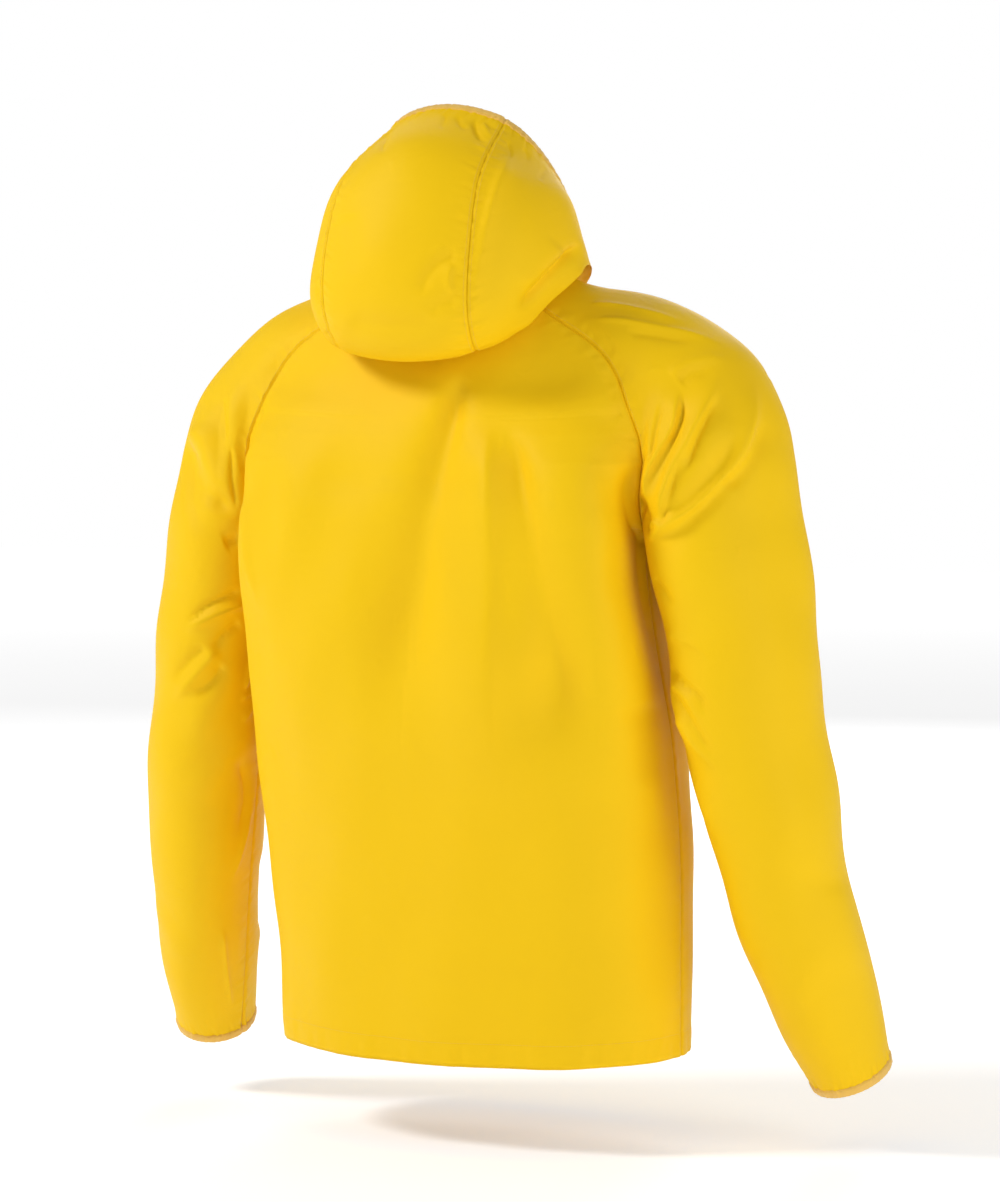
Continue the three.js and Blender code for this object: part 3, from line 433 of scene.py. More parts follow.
def backPanel():
    edge = np.concatenate([raglanBehind, side])
    s = crowded(fine["back"] // 2 * 2)[:fine["back"] // 2 + 1]
    middle = middleHeight(hoodPoint(0, 0)[2], cut["hem"] - cut["hemDropBack"])
    across = 1 - 2 * s
    z = mix(middle[:, None], edge[:, 2:3], across ** 2)
    points = bodyPlace(angleOf(edge)[:, None] * across, z)
    points = meetNeck(points, hoodPoint(cut["neckBehind"] * across, np.zeros(len(s))), rowUnits / (raglanUnits + sideUnits))
    points = meetSeams(points, np.broadcast_to(s, points.shape[:2]), edge, None)
    points[:, -1, 0] = 0
    other = points[:, -2::-1] * (-1, 1, 1)
    return evened(np.concatenate([points, other], 1))


def frontPanel():
    edge = np.concatenate([raglanBefore, side])
    s = crowded(fine["front"], 0.4)
    middle = middleHeight(hoodPoint(4, 0)[2], cut["hem"] + cut["hemRiseFront"])
    near = np.pi - np.arctan2(cut["zipHalfGap"], torsoReach(np.full(middle.shape, np.pi), middle))
    z = mix(middle[:, None], edge[:, 2:3], s ** 2)
    points = bodyPlace(mix(near[:, None], angleOf(edge)[:, None], s), z)
    zipPlace = hoodPlace(np.zeros(1), cut["zipHalfGap"], cut["neckBefore"], 4)[0]
    neck = hoodPoint(mix(zipPlace, cut["neckBefore"], s), np.zeros(len(s)))
    points = meetNeck(points, neck, rowUnits / (raglanUnits + sideUnits))
    zipEdge = points[:, 0].copy()
    zipEdge[:, 0] = cut["zipHalfGap"]
    return evened(meetSeams(points, np.broadcast_to(s, points.shape[:2]), zipEdge, edge))


def sleevePanel():
    armSteps = np.linspace(0, 1, fine["arm"] + 1)[1:]
    seam = armSeam(armSteps)
    before, behind = np.concatenate([raglanBefore, seam]), np.concatenate([raglanBehind, seam])
    u = np.concatenate([underarmU * np.linspace(0, 1, fine["raglan"] + 1), mix(underarmU, armLast, armSteps)])
    spot, down, back, out = armFrame(u)

    def turn(p):
        d = p - spot
        return np.arctan2((d * back).sum(-1), (d * out).sum(-1)), (d * down).sum(-1)

    (low, lowAlong), (high, highAlong) = turn(before), turn(behind)
    high = np.where(high < 0, high + 2 * np.pi, high)
    low = np.where(low > 0, low - 2 * np.pi, low)
    low[fine["raglan"]:] = high[fine["raglan"]:] - 2 * np.pi
    s = crowded(fine["sleeve"])
    angle = mix(low[:, None], high[:, None], s)
    along = lowAlong[:, None] * (1 - s) ** 2 + highAlong[:, None] * s ** 2
    outSize, deepSize = readTable(arm, "n", "out", u)[:, None], readTable(arm, "n", "deep", u)[:, None]
    reach = np.hypot(np.cos(angle) / outSize, np.sin(angle) / deepSize)
    points = (spot[:, None] + out[:, None] * (np.cos(angle) / reach)[..., None]
              + back[:, None] * (np.sin(angle) / reach)[..., None] + down[:, None] * along[..., None])
    upper = fine["raglan"] + 40
    points[:upper] = settle(points[:upper], "sleeve")
    neck = hoodPoint(mix(cut["neckBefore"], cut["neckBehind"], s), np.zeros(len(s)))
    units = np.concatenate([np.linspace(0, raglanUnits, fine["raglan"] + 1), raglanUnits + 14 * armSteps])
    points = meetNeck(points, neck, units / (raglanUnits + sideUnits))
    return evened(meetSeams(points, np.broadcast_to(s, points.shape[:2]), before, behind))


def hoodPanels():
    up = np.linspace(0, 1, fine["hood"] + 1)
    seam = hoodPlace(up, readTable(hoodCentre, "up", "half", up), 0, 2)[:, None]
    s = crowded(fine["hoodCentre"])
    centreQ = mix(seam, -seam, s)
    zipEdge = hoodPlace(up, cut["zipHalfGap"], cut["neckBefore"], 4)[:, None]
    sideS = crowded(fine["hoodSide"], 0.4)
    sideQ = mix(zipEdge, seam, sideS)
    return [(hoodPoint(q, up[:, None]), hoodOutward(q, up[:, None])) for q in (centreQ, sideQ)]


print("stage: panels")
backPoints, frontPoints, sleevePoints = backPanel(), frontPanel(), sleevePanel()
(hoodCentrePoints, hoodCentreOut), (hoodSidePoints, hoodSideOut) = hoodPanels()


def outwardOf(points, piece, seamColumns):
    left = points * np.where(points[..., :1] < 0, (-1, 1, 1), (1, 1, 1))
    slope = slopeAt(left, piece, nearestOnArm(left))
    for column in seamColumns:
        slope[:, column] = slopeAt(left[:, column], "both", nearestOnArm(left[:, column]))
    return unit(slope) * np.where(points[..., :1] < 0, (-1, 1, 1), (1, 1, 1))


def mirrored(points):
    return points * (-1, 1, 1)


panels = {
    "back": {"points": backPoints, "out": outwardOf(backPoints, "body", (0, -1)), "kind": "body"},
    "front_left": {"points": frontPoints, "out": outwardOf(frontPoints, "body", (-1,)), "kind": "body"},
    "sleeve_left": {"points": sleevePoints, "out": outwardOf(sleevePoints, "sleeve", (0, -1)), "kind": "sleeve"},
    "hood_centre": {"points": hoodCentrePoints, "out": hoodCentreOut, "kind": "hood"},
    "hood_left": {"points": hoodSidePoints, "out": hoodSideOut, "kind": "hood"},
}
for name in ("front", "sleeve", "hood"):
    leftPanel = panels[name + "_left"]
    panels[name + "_right"] = {
        "points": mirrored(leftPanel["points"]), "out": mirrored(leftPanel["out"]), "kind": leftPanel["kind"], "flip": True}
print("stage: panels placed")


# Folds and creases
def seen(angle, lift):
    a, e = math.radians(angle - 180), math.radians(lift)
    away = np.array([-math.sin(a), math.cos(a), 0])
    up = np.array([0, 0, 1.0])
    return {"right": np.array([-math.cos(a), -math.sin(a), 0]), "up": up * math.cos(e) - away * math.sin(e),
            "towards": away * math.cos(e) + up * math.sin(e)}


photo = seen(view["azimuth"], view["elevation"])


def inPicture(points):
    d = points - np.array(view["target"])
    scale = view["distance"] / (view["distance"] - d @ photo["towards"]) * view["width"] / view["across"]
    return np.stack([view["width"] / 2 + d @ photo["right"] * scale, view["height"] / 2 - d @ photo["up"] * scale], -1)


def smoothPath(points, count=12):
    p = np.array(points, float)
    if len(p) == 2:
        p = np.array([p[0], (p[0] + p[1]) / 2, p[1]])
    p = np.concatenate([[2 * p[0] - p[1]], p, [2 * p[-1] - p[-2]]])
    t = np.linspace(0, 1, count, endpoint=False)[:, None]
    parts = [0.5 * (2 * b + (c - a) * t + (2 * a - 5 * b + 4 * c - d) * t ** 2 + (3 * b - a - 3 * c + d) * t ** 3)
             for a, b, c, d in zip(p, p[1:], p[2:], p[3:])]
    return np.concatenate(parts + [p[-2:-1]])


def creaseLift(spots, path, width, height, lean=0.0):
    # how far one crease lifts points, from their distance to its path
    line = smoothPath(path)
    begin, end = width if isinstance(width, tuple) else (width, width)
    reach = 3.2 * max(begin, end)
    near = ((spots > line.min(0) - reach) & (spots < line.max(0) + reach)).all(-1)
    lift = np.zeros(spots.shape[:-1])
    p = spots[near]
    if not len(p):
        return lift
    a, ab = line[:-1], line[1:] - line[:-1]
    d = p[:, None] - a
    t = np.clip((d * ab).sum(-1) / np.maximum((ab * ab).sum(-1), 1e-9), 0, 1)
    off = d - ab * t[..., None]
    gap = np.hypot(off[..., 0], off[..., 1])
    i = gap.argmin(1)
    rows = np.arange(len(p))
    sideOf = np.sign(ab[i, 0] * off[rows, i, 1] - ab[i, 1] * off[rows, i, 0])
    along = (i + t[rows, i]) / len(a)
    r = gap[rows, i] / (mix(begin, end, along) * (1 + lean * sideOf))
    blunt = 0.45 if height > 0 else 0.22  # ridges are rounder than troughs, and wide folds are round all over
    blunt = mix(blunt, 1.7, ease(5, 11, max(begin, end)))
    shape = np.exp((blunt - np.sqrt(r * r + blunt * blunt)) * 1.75)
    lift[near] = height * shape * ease(0, 0.18, along) * ease(1, 0.72, along)
    return lift


# The jacket's largest folds, given on the left half and mirrored: start, middle and end, width and height
largeFolds = [
    ("sleeve", (262, 60, -96), (252, 92, -150), (214, 88, -212), 30, 8),
    ("sleeve", (272, 52, -134), (258, 92, -182), (222, 88, -232), 24, -5),
    ("sleeve", (172, 92, -64), (182, 104, -130), (200, 92, -206), 17, 5),
    ("sleeve", (222, 74, -70), (214, 100, -134), (206, 92, -206), 18, 5),
    ("sleeve", (262, -20, -96), (252, -40, -150), (206, -22, -204), 30, 4),
    ("sleeve", (214, 56, -330), (240, 84, -366), (276, 88, -410), 26, 3.5),
    ("sleeve", (228, 30, -392), (246, 60, -430), (280, 74, -474), 22, 2.5),
    ("sleeve", (330, -30, -470), (318, -66, -500), (280, -62, -540), 28, 2),
    ("sleeve", (350, 10, -560), (338, 34, -600), (306, 28, -640), 24, 1.5),
    ("body", (150, 132, -150), (160, 138, -260), (150, 128, -400), 46, -6),
    ("body", (40, 150, -110), (70, 164, -200), (120, 150, -330), 44, -4),
    ("body", (6, 158, -160), (2, 166, -330), (10, 140, -560), 50, -4),
    ("body", (110, -58, -200), (120, -80, -330), (110, -96, -520), 46, -6),
]


foldSteps = 16


def largeLift(points, kind):
    p = np.abs(points) * (1, 0, 0) + points * (0, 1, 1)
    lift = np.zeros(points.shape[:-1])
    for on, start, via, end, width, height in largeFolds:
        if on != kind:
            continue
        t = np.linspace(0, 1, foldSteps + 1)[:, None]
        line = (1 - t) ** 2 * np.array(start) + 2 * t * (1 - t) * np.array(via) + t ** 2 * np.array(end)
        gap, at = np.full(lift.shape, np.inf), np.zeros(lift.shape)
        for k, (a, b) in enumerate(zip(line, line[1:])):
            share = np.clip((p - a) @ (b - a) / ((b - a) @ (b - a)), 0, 1)
            away = np.linalg.norm(p - a - (b - a) * share[..., None], axis=-1)
            at = np.where(away < gap, (k + share) / foldSteps, at)
            gap = np.minimum(gap, away)
        across = np.maximum(1 - (gap / width) ** 2, 0) ** 2
        lift += height * across * ease(0, 0.3, at) * ease(1, 0.7, at)
    return lift


# Creases by their places in the photograph: piece, path in its pixels, width and height in mm, lean.
# Two widths are those at the path's start and end. Lean narrows the flank right of the path
creases = [
    # right sleeve: two fine ridges on top of the shoulder and a soft one under them
    ("sleeve_right", [(588, 303), (620, 306), (650, 312), (684, 320)], 2.6, 1.5, 0),
    ("sleeve_right", [(588, 320), (620, 322), (650, 326), (680, 331), (700, 337), (724, 345)], 2.8, 1.9, 0),
    ("sleeve_right", [(626, 334), (660, 337), (696, 342)], 4, -1.5, 0),
    ("sleeve_right", [(668, 376), (684, 364), (708, 359), (732, 361)], 5, 1.7, 0),
    ("sleeve_right", [(680, 384), (692, 374), (714, 370)], 5, -1.6, 0),
    # its fan of folds from the armpit: three ridges, each with a sharp trough on its right
    ("sleeve_right", [(652, 506), (654, 478), (661, 456), (669, 440), (675, 424), (677, 404), (679, 386)], (3, 6), 4.4, -0.4),
    ("sleeve_right", [(655, 462), (657, 432), (664, 398)], 4, -2.2, 0),
    ("sleeve_right", [(670, 447), (677, 434), (682, 418), (683, 390)], 2.6, -2.2, 0),
    ("sleeve_right", [(664, 524), (667, 505), (670, 488), (676, 470), (685, 452), (694, 430), (703, 412), (713, 392), (724, 370)],
     (3, 8), 5.6, -0.45),
    ("sleeve_right", [(665, 530), (668, 510), (673, 490), (678, 471), (684, 458), (692, 446)], 2.4, -2.5, 0),
    ("sleeve_right", [(686, 472), (693, 452), (700, 433), (708, 415), (718, 396)], 3, -2.3, 0),
    ("sleeve_right", [(648, 541), (660, 533), (680, 518), (700, 501), (720, 480), (732, 467), (743, 449), (751, 425), (754, 400), (752, 378)],
     (2.4, 9), 5.2, -0.4),
    ("sleeve_right", [(722, 488), (742, 471), (756, 446), (762, 416)], 8, -2.4, 0),
    ("sleeve_right", [(670, 519), (690, 502), (712, 478), (728, 455), (738, 428)], 8, -2.6, 0),
    ("sleeve_right", [(650, 530), (657, 522), (667, 528)], 2.4, 2.8, 0),
    ("sleeve_right", [(645, 496), (648, 514), (653, 534)], 6, -4.5, 0),
    # its inner side: short diagonals
    ("sleeve_right", [(655, 578), (664, 590), (674, 606)], 4, -1.8, 0),
    ("sleeve_right", [(664, 632), (682, 641), (700, 654), (718, 678)], 5, 1.8, 0),
    ("sleeve_right", [(678, 642), (700, 656), (714, 672)], 4, -1.4, 0),
    ("sleeve_right", [(666, 666), (684, 683), (700, 697), (710, 714)], 3.2, -2.6, 0),
    ("sleeve_right", [(672, 680), (690, 698), (706, 724)], 4, 2.2, 0),
    ("sleeve_right", [(673, 687), (688, 708), (702, 734), (714, 756)], 3.2, -2.4, 0),
    ("sleeve_right", [(682, 712), (697, 740), (720, 775)], 5, 2.2, 0.2),
    ("sleeve_right", [(838, 880), (846, 930), (860, 980)], 12, 1.2, 0),
    ("sleeve_right", [(820, 860), (812, 930), (824, 1000)], 16, -1.2, 0),
    # back: two soft valleys that fall from the neck and fan out, with swells between them
    ("back", [(464, 372), (448, 420), (430, 480), (414, 560), (400, 640), (384, 740)], (5, 24), -8.5, 0),
    ("back", [(488, 420), (488, 500), (487, 600), (489, 700), (494, 800)], (7, 24), 6.0, 0.5),
    ("back", [(508, 420), (520, 500), (538, 600), (556, 700), (570, 800)], (6, 26), -8.5, 0),
    ("back", [(560, 440), (580, 540), (596, 640), (612, 740)], 22, 2.2, 0),
    ("back", [(600, 440), (614, 500), (620, 560), (620, 640)], 12, -2.4, 0),
    ("back", [(634, 462), (641, 498), (648, 540), (653, 600), (660, 690)], (8, 13), -5.5, 0),
    ("back", [(640, 700), (646, 740), (652, 790)], 12, -2.4, 0),
    ("back", [(292, 440), (302, 520), (310, 610), (312, 720)], 15, 1.8, 0),
    ("back", [(262, 440), (268, 520), (280, 620), (300, 740)], 11, -1.8, 0),
    ("back", [(346, 480), (344, 560), (332, 660), (330, 760)], 20, 1.8, 0),
    ("back", [(232, 452), (238, 500), (244, 560), (256, 620)], 6, 2.2, 0.3),
    ("back", [(560, 800), (566, 880), (556, 950), (560, 1010)], 24, 1.6, 0),
    ("back", [(660, 800), (656, 880), (660, 950), (658, 1010)], 15, -1.8, 0),
    ("back", [(684, 742), (688, 780), (680, 820), (686, 870)], 3.4, 1.4, 0),
    ("back", [(400, 980), (450, 988), (520, 984), (590, 990)], 12, -1.1, 0),
    # left sleeve: the crease under its shoulder, and diagonals on the inner side
    ("sleeve_left", [(188, 436), (192, 464), (204, 486), (220, 502), (237, 518)], (11, 6), -5.5, 0),
    ("sleeve_left", [(206, 420), (210, 452), (220, 476), (235, 500)], 10, 2.4, 0),
    ("sleeve_left", [(232, 446), (233, 480), (236, 512)], 3, -2.2, 0),
    ("sleeve_left", [(223, 398), (226, 420), (227, 446)], 4, -1.5, 0),
    ("sleeve_left", [(224, 544), (232, 541), (240, 540)], 6, -3.4, 0),
    ("sleeve_left", [(242, 589), (222, 598), (202, 610), (187, 626)], 4, -2.8, 0),
    ("sleeve_left", [(248, 601), (228, 609), (206, 619), (184, 633)], 4.5, 3.4, 0),
    ("sleeve_left", [(242, 622), (224, 634), (212, 650)], 5, -2.8, 0),
    ("sleeve_left", [(206, 646), (190, 660), (170, 682)], 5, -2.2, 0),
    ("sleeve_left", [(218, 648), (206, 664), (190, 682), (170, 702)], 6, 3.2, 0),
    ("sleeve_left", [(224, 664), (212, 682), (194, 696)], 5, -2.6, 0),
    ("sleeve_left", [(252, 660), (249, 676), (245, 692)], 2.8, 2.2, 0),
    ("sleeve_left", [(264, 687), (251, 693), (240, 701)], 2.4, 2.2, 0),
    ("sleeve_left", [(260, 698), (250, 711), (242, 722)], 2.6, 1.9, 0),
    ("sleeve_left", [(263, 766), (253, 808), (241, 848), (230, 884)], 3, 2.2, 0),
    ("sleeve_left", [(238, 756), (247, 796), (237, 838)], 5, -2, 0),
    ("sleeve_left", [(222, 926), (226, 968), (233, 1012)], 3, 1.9, 0),
    # hood: the deep crease at its lower right with a roll under it
    ("hood_right", [(582, 242), (560, 263), (540, 286), (518, 311)], (6, 5), -5.0, -0.2),
    ("hood_right", [(590, 262), (572, 282), (553, 303), (530, 322), (508, 336)], 5, 3.0, 0),
    ("hood_right", [(562, 244), (542, 266), (520, 292)], 9, 1.6, 0),
    ("hood_right", [(514, 146), (496, 188), (483, 230), (475, 272), (471, 322)], 7, 2.2, -0.3),
    ("hood_right", [(508, 140), (512, 150), (510, 158)], 2.4, -0.9, 0),
    ("hood_right", [(524, 148), (528, 155), (528, 162)], 2.2, -0.7, 0),
    ("hood_right", [(546, 168), (542, 174), (540, 181)], 2.2, -0.6, 0),
    # its middle: a dimple beside the seam, and small puckers under the rim
    ("hood_centre", [(461, 252), (440, 262), (426, 279), (420, 298)], 7, -1.8, 0),
    ("hood_centre", [(452, 262), (448, 280), (454, 296)], 5, 1.2, 0),
    ("hood_centre", [(459, 300), (440, 304), (428, 316)], 7, -1.2, 0),
    ("hood_centre", [(344, 322), (390, 328), (450, 326)], 9, -1.8, 0),
    ("hood_centre", [(344, 214), (352, 240), (350, 280)], 9, -1.2, 0),
    ("hood_centre", [(474, 118), (479, 134), (493, 146)], 3, -2.2, 0),
    ("hood_centre", [(482, 120), (489, 132), (498, 141)], 2.4, 1.7, 0),
    ("hood_centre", [(457, 114), (461, 124), (468, 128)], 2.4, -1.4, 0),
    ("hood_centre", [(390, 120), (384, 138), (381, 154)], 4, -1.6, 0),
    ("hood_centre", [(446, 112), (444, 122), (440, 130)], 2.6, -1.1, 0),
]

# Creases on the front, by x and z in mm: half widths and heights as above. They run on both halves
frontCreases = [
    ("front", [(70, -60), (96, -130), (110, -220), (104, -320)], 16, -4, 0.3),
    ("front", [(40, -90), (56, -180), (60, -300), (50, -420)], 20, 3, 0),
    ("front", [(150, -180), (140, -260), (146, -360)], 14, -3.4, 0),
    ("front", [(176, -196), (150, -214), (118, -222)], 9, 3.2, 0.2),
    ("front", [(174, -214), (150, -240), (124, -250)], 8, -2.6, 0),
    ("front", [(30, -420), (44, -520), (36, -630)], 18, -2.6, 0),
    ("front", [(120, -440), (126, -540), (116, -650)], 18, 2.6, 0),
    ("front", [(170, -420), (160, -520), (168, -640)], 15, -2.4, 0),
    ("sleeve", [(182, -196), (214, -150), (262, -110)], 9, 3.6, 0.2),
    ("sleeve", [(188, -176), (206, -130), (228, -86)], 8, -3, 0),
    ("sleeve", [(190, -204), (226, -186), (280, -160)], 8, -3, 0),
    ("sleeve", [(150, -60), (190, -84), (230, -80)], 10, 2.4, 0),
    ("sleeve", [(222, -330), (256, -366), (306, -384)], 12, 3.4, 0.2),
    ("sleeve", [(230, -376), (266, -404), (316, -412)], 9, -3, 0),
    ("sleeve", [(240, -420), (276, -446), (330, -452)], 10, 3, 0),
    ("sleeve", [(262, -520), (296, -546), (344, -548)], 10, -2.6, 0),
    ("sleeve", [(276, -600), (310, -616), (356, -606)], 9, 2.4, 0),
]


creaseStrength = 1.45


def creasesOn(name, points, out):
    facing = ease(0.02, 0.3, out @ photo["towards"])
    pixel = view["width"] / view["across"]
    spots = inPicture(points) / pixel
    lift = np.zeros(points.shape[:-1])
    for piece, path, width, height, lean in creases:
        if piece == name:
            lift += facing * creaseLift(spots, np.array(path) / pixel, width, height * creaseStrength, lean)
    side = -1 if name.endswith("right") else 1
    facing = ease(0.05, 0.4, -out[..., 1])
    spots = points[..., (0, 2)] * (side, 1)
    for piece, path, width, height, lean in frontCreases:
        if name in (piece + "_left", piece + "_right"):
            shift = (0, 0) if side > 0 else (4, 12)  # the right half's creases lie a little lower
            lift += facing * creaseLift(spots + shift, path, width, height, lean)
    return lift


# The seams' low ends are tucked in at the armpits, behind and in front: from, to and the pull, by x, y and z in mm
tucks = [
    {"from": (201, 80, -180), "to": (203, 60, -210), "pull": (-3, -8, 0), "width": 8},
    {"from": (200, -10, -176), "to": (202, 10, -206), "pull": (-2, 5, 0), "width": 9},
]


def tucked(points):
    # the same for every panel, so that pieces sewn together stay together
    left = np.abs(points) * (1, 0, 0) + points * (0, 1, 1)
    moved = points.copy()
    for tuck in tucks:
        a, b = np.array(tuck["from"], float), np.array(tuck["to"], float)
        share = np.clip((left - a) @ (b - a) / ((b - a) @ (b - a)), 0, 1)
        away = np.linalg.norm(left - a - (b - a) * share[..., None], axis=-1)
        pull = np.exp(-(away / tuck["width"]) ** 2)[..., None] * np.array(tuck["pull"], float)
        moved += pull * np.where(points[..., :1] < 0, (-1, 1, 1), (1, 1, 1))
    return moved


def drapeNoise(points, kind):
    # slow undulation, longer down the cloth than across it
    draw = np.random.default_rng(5)
    lift = np.zeros(points.shape[:-1])
    for _ in range(14):
        length = draw.uniform(46, 130)
        direction = unit(draw.normal(size=3) * ((1, 1, 0.4) if kind == "body" else (1, 1, 0.9)))
        lift += np.sin(points @ direction * 2 * np.pi / length + draw.uniform(0, 6.28)) * length / 90
    return lift * (0.34 if kind == "hood" else 0.42)


def ripple(along, away, seed, length=11.0):
    # gathers along a seam: waves of uneven length that slant as they die out
    draw = np.random.default_rng(seed)
    wave = np.zeros(np.broadcast(along, away).shape)
    for part in (0.72, 1.0, 1.37, 1.9):
        wave += np.sin((along + away * draw.uniform(-0.5, 0.5)) * 2 * np.pi / (length * part) + draw.uniform(0, 6.28))
    return wave / 2.2


def arcAlong(points, axis):
    step = np.linalg.norm(np.diff(points, axis=axis), axis=-1)
    return np.concatenate([np.zeros_like(np.take(step, [0], axis)), np.cumsum(step, axis)], axis)


seams = {
    "groove": 1.7,  # how deep a seam draws the cloth in, mm
    "grooveWidth": 1.6,
    "pucker": 0.55,
    "puckerReach": 13,
    "hemDepth": 22,
    "gather": 0.9,  # where the cloth is drawn in by the bindings
    "gatherReach": 13,
    "cloth": 0.7,
}


def dressed(name, panel):
    # the panel with its folds, creases and the pull of its seams
    points, out, kind = panel["points"], panel["out"], panel["kind"]
    across, down = arcAlong(points, 1), arcAlong(points, 0)
    fromFirst, fromLast = across, across[:, -1:] - across
    fromTop, fromBottom = down, down[-1:] - down
    zipSide = name.startswith(("front", "hood_left", "hood_right"))
    edges = [(fromLast, down, 1)] + ([] if zipSide else [(fromFirst, down, 2)])
    lift = largeLift(points, kind) + creasesOn(name, points, out) + drapeNoise(points, kind)
    nearSeam = np.minimum.reduce([away for away, _, _ in edges] + [fromTop])
    lift *= ease(0.5, 16, nearSeam)
    if kind == "sleeve" or kind == "hood":
        lift *= mix(0.35, 1, ease(2, 26, fromBottom))
    if zipSide:
        lift *= mix(0.25, 1, ease(2, 26, fromFirst))
    for away, along, seed in edges:
        share = ease(0.5, 4, away) * np.exp(-(away / seams["puckerReach"]) ** 2)
        lift += seams["pucker"] * share * ripple(along[:, :1] if seed == 2 else along[:, -1:], away, seed + len(name))
        lift -= seams["groove"] * (0.6 if kind == "hood" else 1) * np.exp(-(away / seams["grooveWidth"]) ** 2)
    share = ease(0.5, 4, fromTop) * np.exp(-(fromTop / seams["puckerReach"]) ** 2)
    lift += seams["pucker"] * share * ripple(across[:1], fromTop, 7)
    if kind == "body":
        stitch = fromBottom - seams["hemDepth"]
        lift -= 0.45 * np.exp(-(stitch / 1.6) ** 2)
        near = np.exp(-((fromBottom - 10) / 14) ** 2) * ease(0, 10, nearSeam)
        lift += 0.5 * near * ripple(across[-1:], fromBottom * 0.6, 3, 21)
    else:
        gather = seams["gather"] * np.exp(-(fromBottom / seams["gatherReach"]) ** 2) * ease(1, 7, fromBottom)
        gather *= ease(0, 6, nearSeam) if kind == "hood" else 1
        lift += gather * ripple(across[-1:], fromBottom * 0.7, 9, 8)
    return tucked(points + out * lift[..., None])


def gridNormals(points, flip):
    rise = np.gradient(points, axis=0)
    across = np.gradient(points, axis=1)
    return unit(np.cross(rise, across)) * (-1 if flip else 1)


print("stage: folds and creases")
for name, panel in panels.items():
    panel["shape"] = dressed(name, panel)
    normal = gridNormals(panel["shape"], False)
    panel["flip"] = bool((normal * panel["out"]).sum(-1).mean() < 0)
    panel["normal"] = normal * (-1 if panel["flip"] else 1)


# Meshes
def makeObject(name, verts, faces, material, uv=None, smooth=True):
    mesh = bpy.data.meshes.new(name)
    mesh.from_pydata((np.asarray(verts) * mm).tolist(), [], [tuple(map(int, f)) for f in faces])
    mesh.materials.append(material)
    if smooth:
        mesh.polygons.foreach_set("use_smooth", np.ones(len(mesh.polygons), bool))
    if uv is not None:
        corner = np.zeros(len(mesh.loops), int)
        mesh.loops.foreach_get("vertex_index", corner)
        mesh.uv_layers.new(name="cloth").data.foreach_set("uv", (np.asarray(uv) * mm)[corner].ravel())
    mesh.update()
    piece = bpy.data.objects.new(name, mesh)
    bpy.context.collection.objects.link(piece)
    return piece


def quads(rows, columns, start=0, closed=False, flip=False):
    i, j = np.meshgrid(np.arange(rows - 1), np.arange(columns if closed else columns - 1), indexing="ij")
    k = (j + 1) % columns
    a, b, c, d = [start + v.ravel() for v in (i * columns + j, i * columns + k, (i + 1) * columns + k, (i + 1) * columns + j)]
    return np.stack([a, b, c, d] if flip else [a, d, c, b], 1)


def shell(name, panel, material):
    # a thin wall: the cloth's outside, its inside and a strip round the edge
    outer, normal = panel["shape"], panel["normal"]
    rows, columns = outer.shape[:2]
    wall = np.full((rows, columns), seams["cloth"])
    if panel["kind"] == "body":
        down = arcAlong(outer, 0)
        wall += 0.7 * ease(seams["hemDepth"] + 1.5, seams["hemDepth"] - 1, down[-1:] - down)
    inner = (outer - normal * wall[..., None])[::2, ::2]  # the inside is half as fine
    innerRows, innerColumns = inner.shape[:2]
    count = rows * columns
    faces = [tuple(f) for f in quads(rows, columns, 0, flip=not panel["flip"])]
    faces += [tuple(f) for f in quads(innerRows, innerColumns, count, flip=panel["flip"])]
    outerRing, innerRing = ringOf(rows, columns), ringOf(innerRows, innerColumns) + count
    for k in range(len(innerRing)):
        a, b, c = [outerRing[(2 * k + step) % len(outerRing)] for step in (0, 1, 2)]
        d, e = innerRing[(k + 1) % len(innerRing)], innerRing[k]
        faces.append((a, b, c, d, e) if panel["flip"] else (e, d, c, b, a))
    across, down = arcAlong(outer, 1), arcAlong(outer, 0)
    uv = np.stack([across, down], -1)
    verts = np.concatenate([outer.reshape(-1, 3), inner.reshape(-1, 3)])
    return makeObject(name, verts, faces, material, np.concatenate([uv.reshape(-1, 2), uv[::2, ::2].reshape(-1, 2)]))


def ringOf(rows, columns):
    return np.concatenate([np.arange(columns), np.arange(1, rows) * columns + columns - 1,
                           (rows - 1) * columns + np.arange(columns - 2, -1, -1), np.arange(rows - 2, 0, -1) * columns])


# Materials
def buildGroup(name, inputs, outputs, build):
    group = bpy.data.node_groups.new(name, "ShaderNodeTree")
    for label, kind, value in inputs:
        socket = group.interface.new_socket(name=label, in_out="INPUT", socket_type=kind)
        if value is not None:
            socket.default_value = value
    for label, kind in outputs:
        group.interface.new_socket(name=label, in_out="OUTPUT", socket_type=kind)
    build(group.nodes, group.links, group.nodes.new("NodeGroupInput"), group.nodes.new("NodeGroupOutput"))
    return group


def mathNode(nodes, links, operation, a, b=None):
    node = nodes.new("ShaderNodeMath")
    node.operation = operation
    for socket, value in zip(node.inputs, (a, b)):
        if value is None:
            continue
        if isinstance(value, (int, float)):
            socket.default_value = value
        else:
            links.new(value, socket)
    return node.outputs[0]


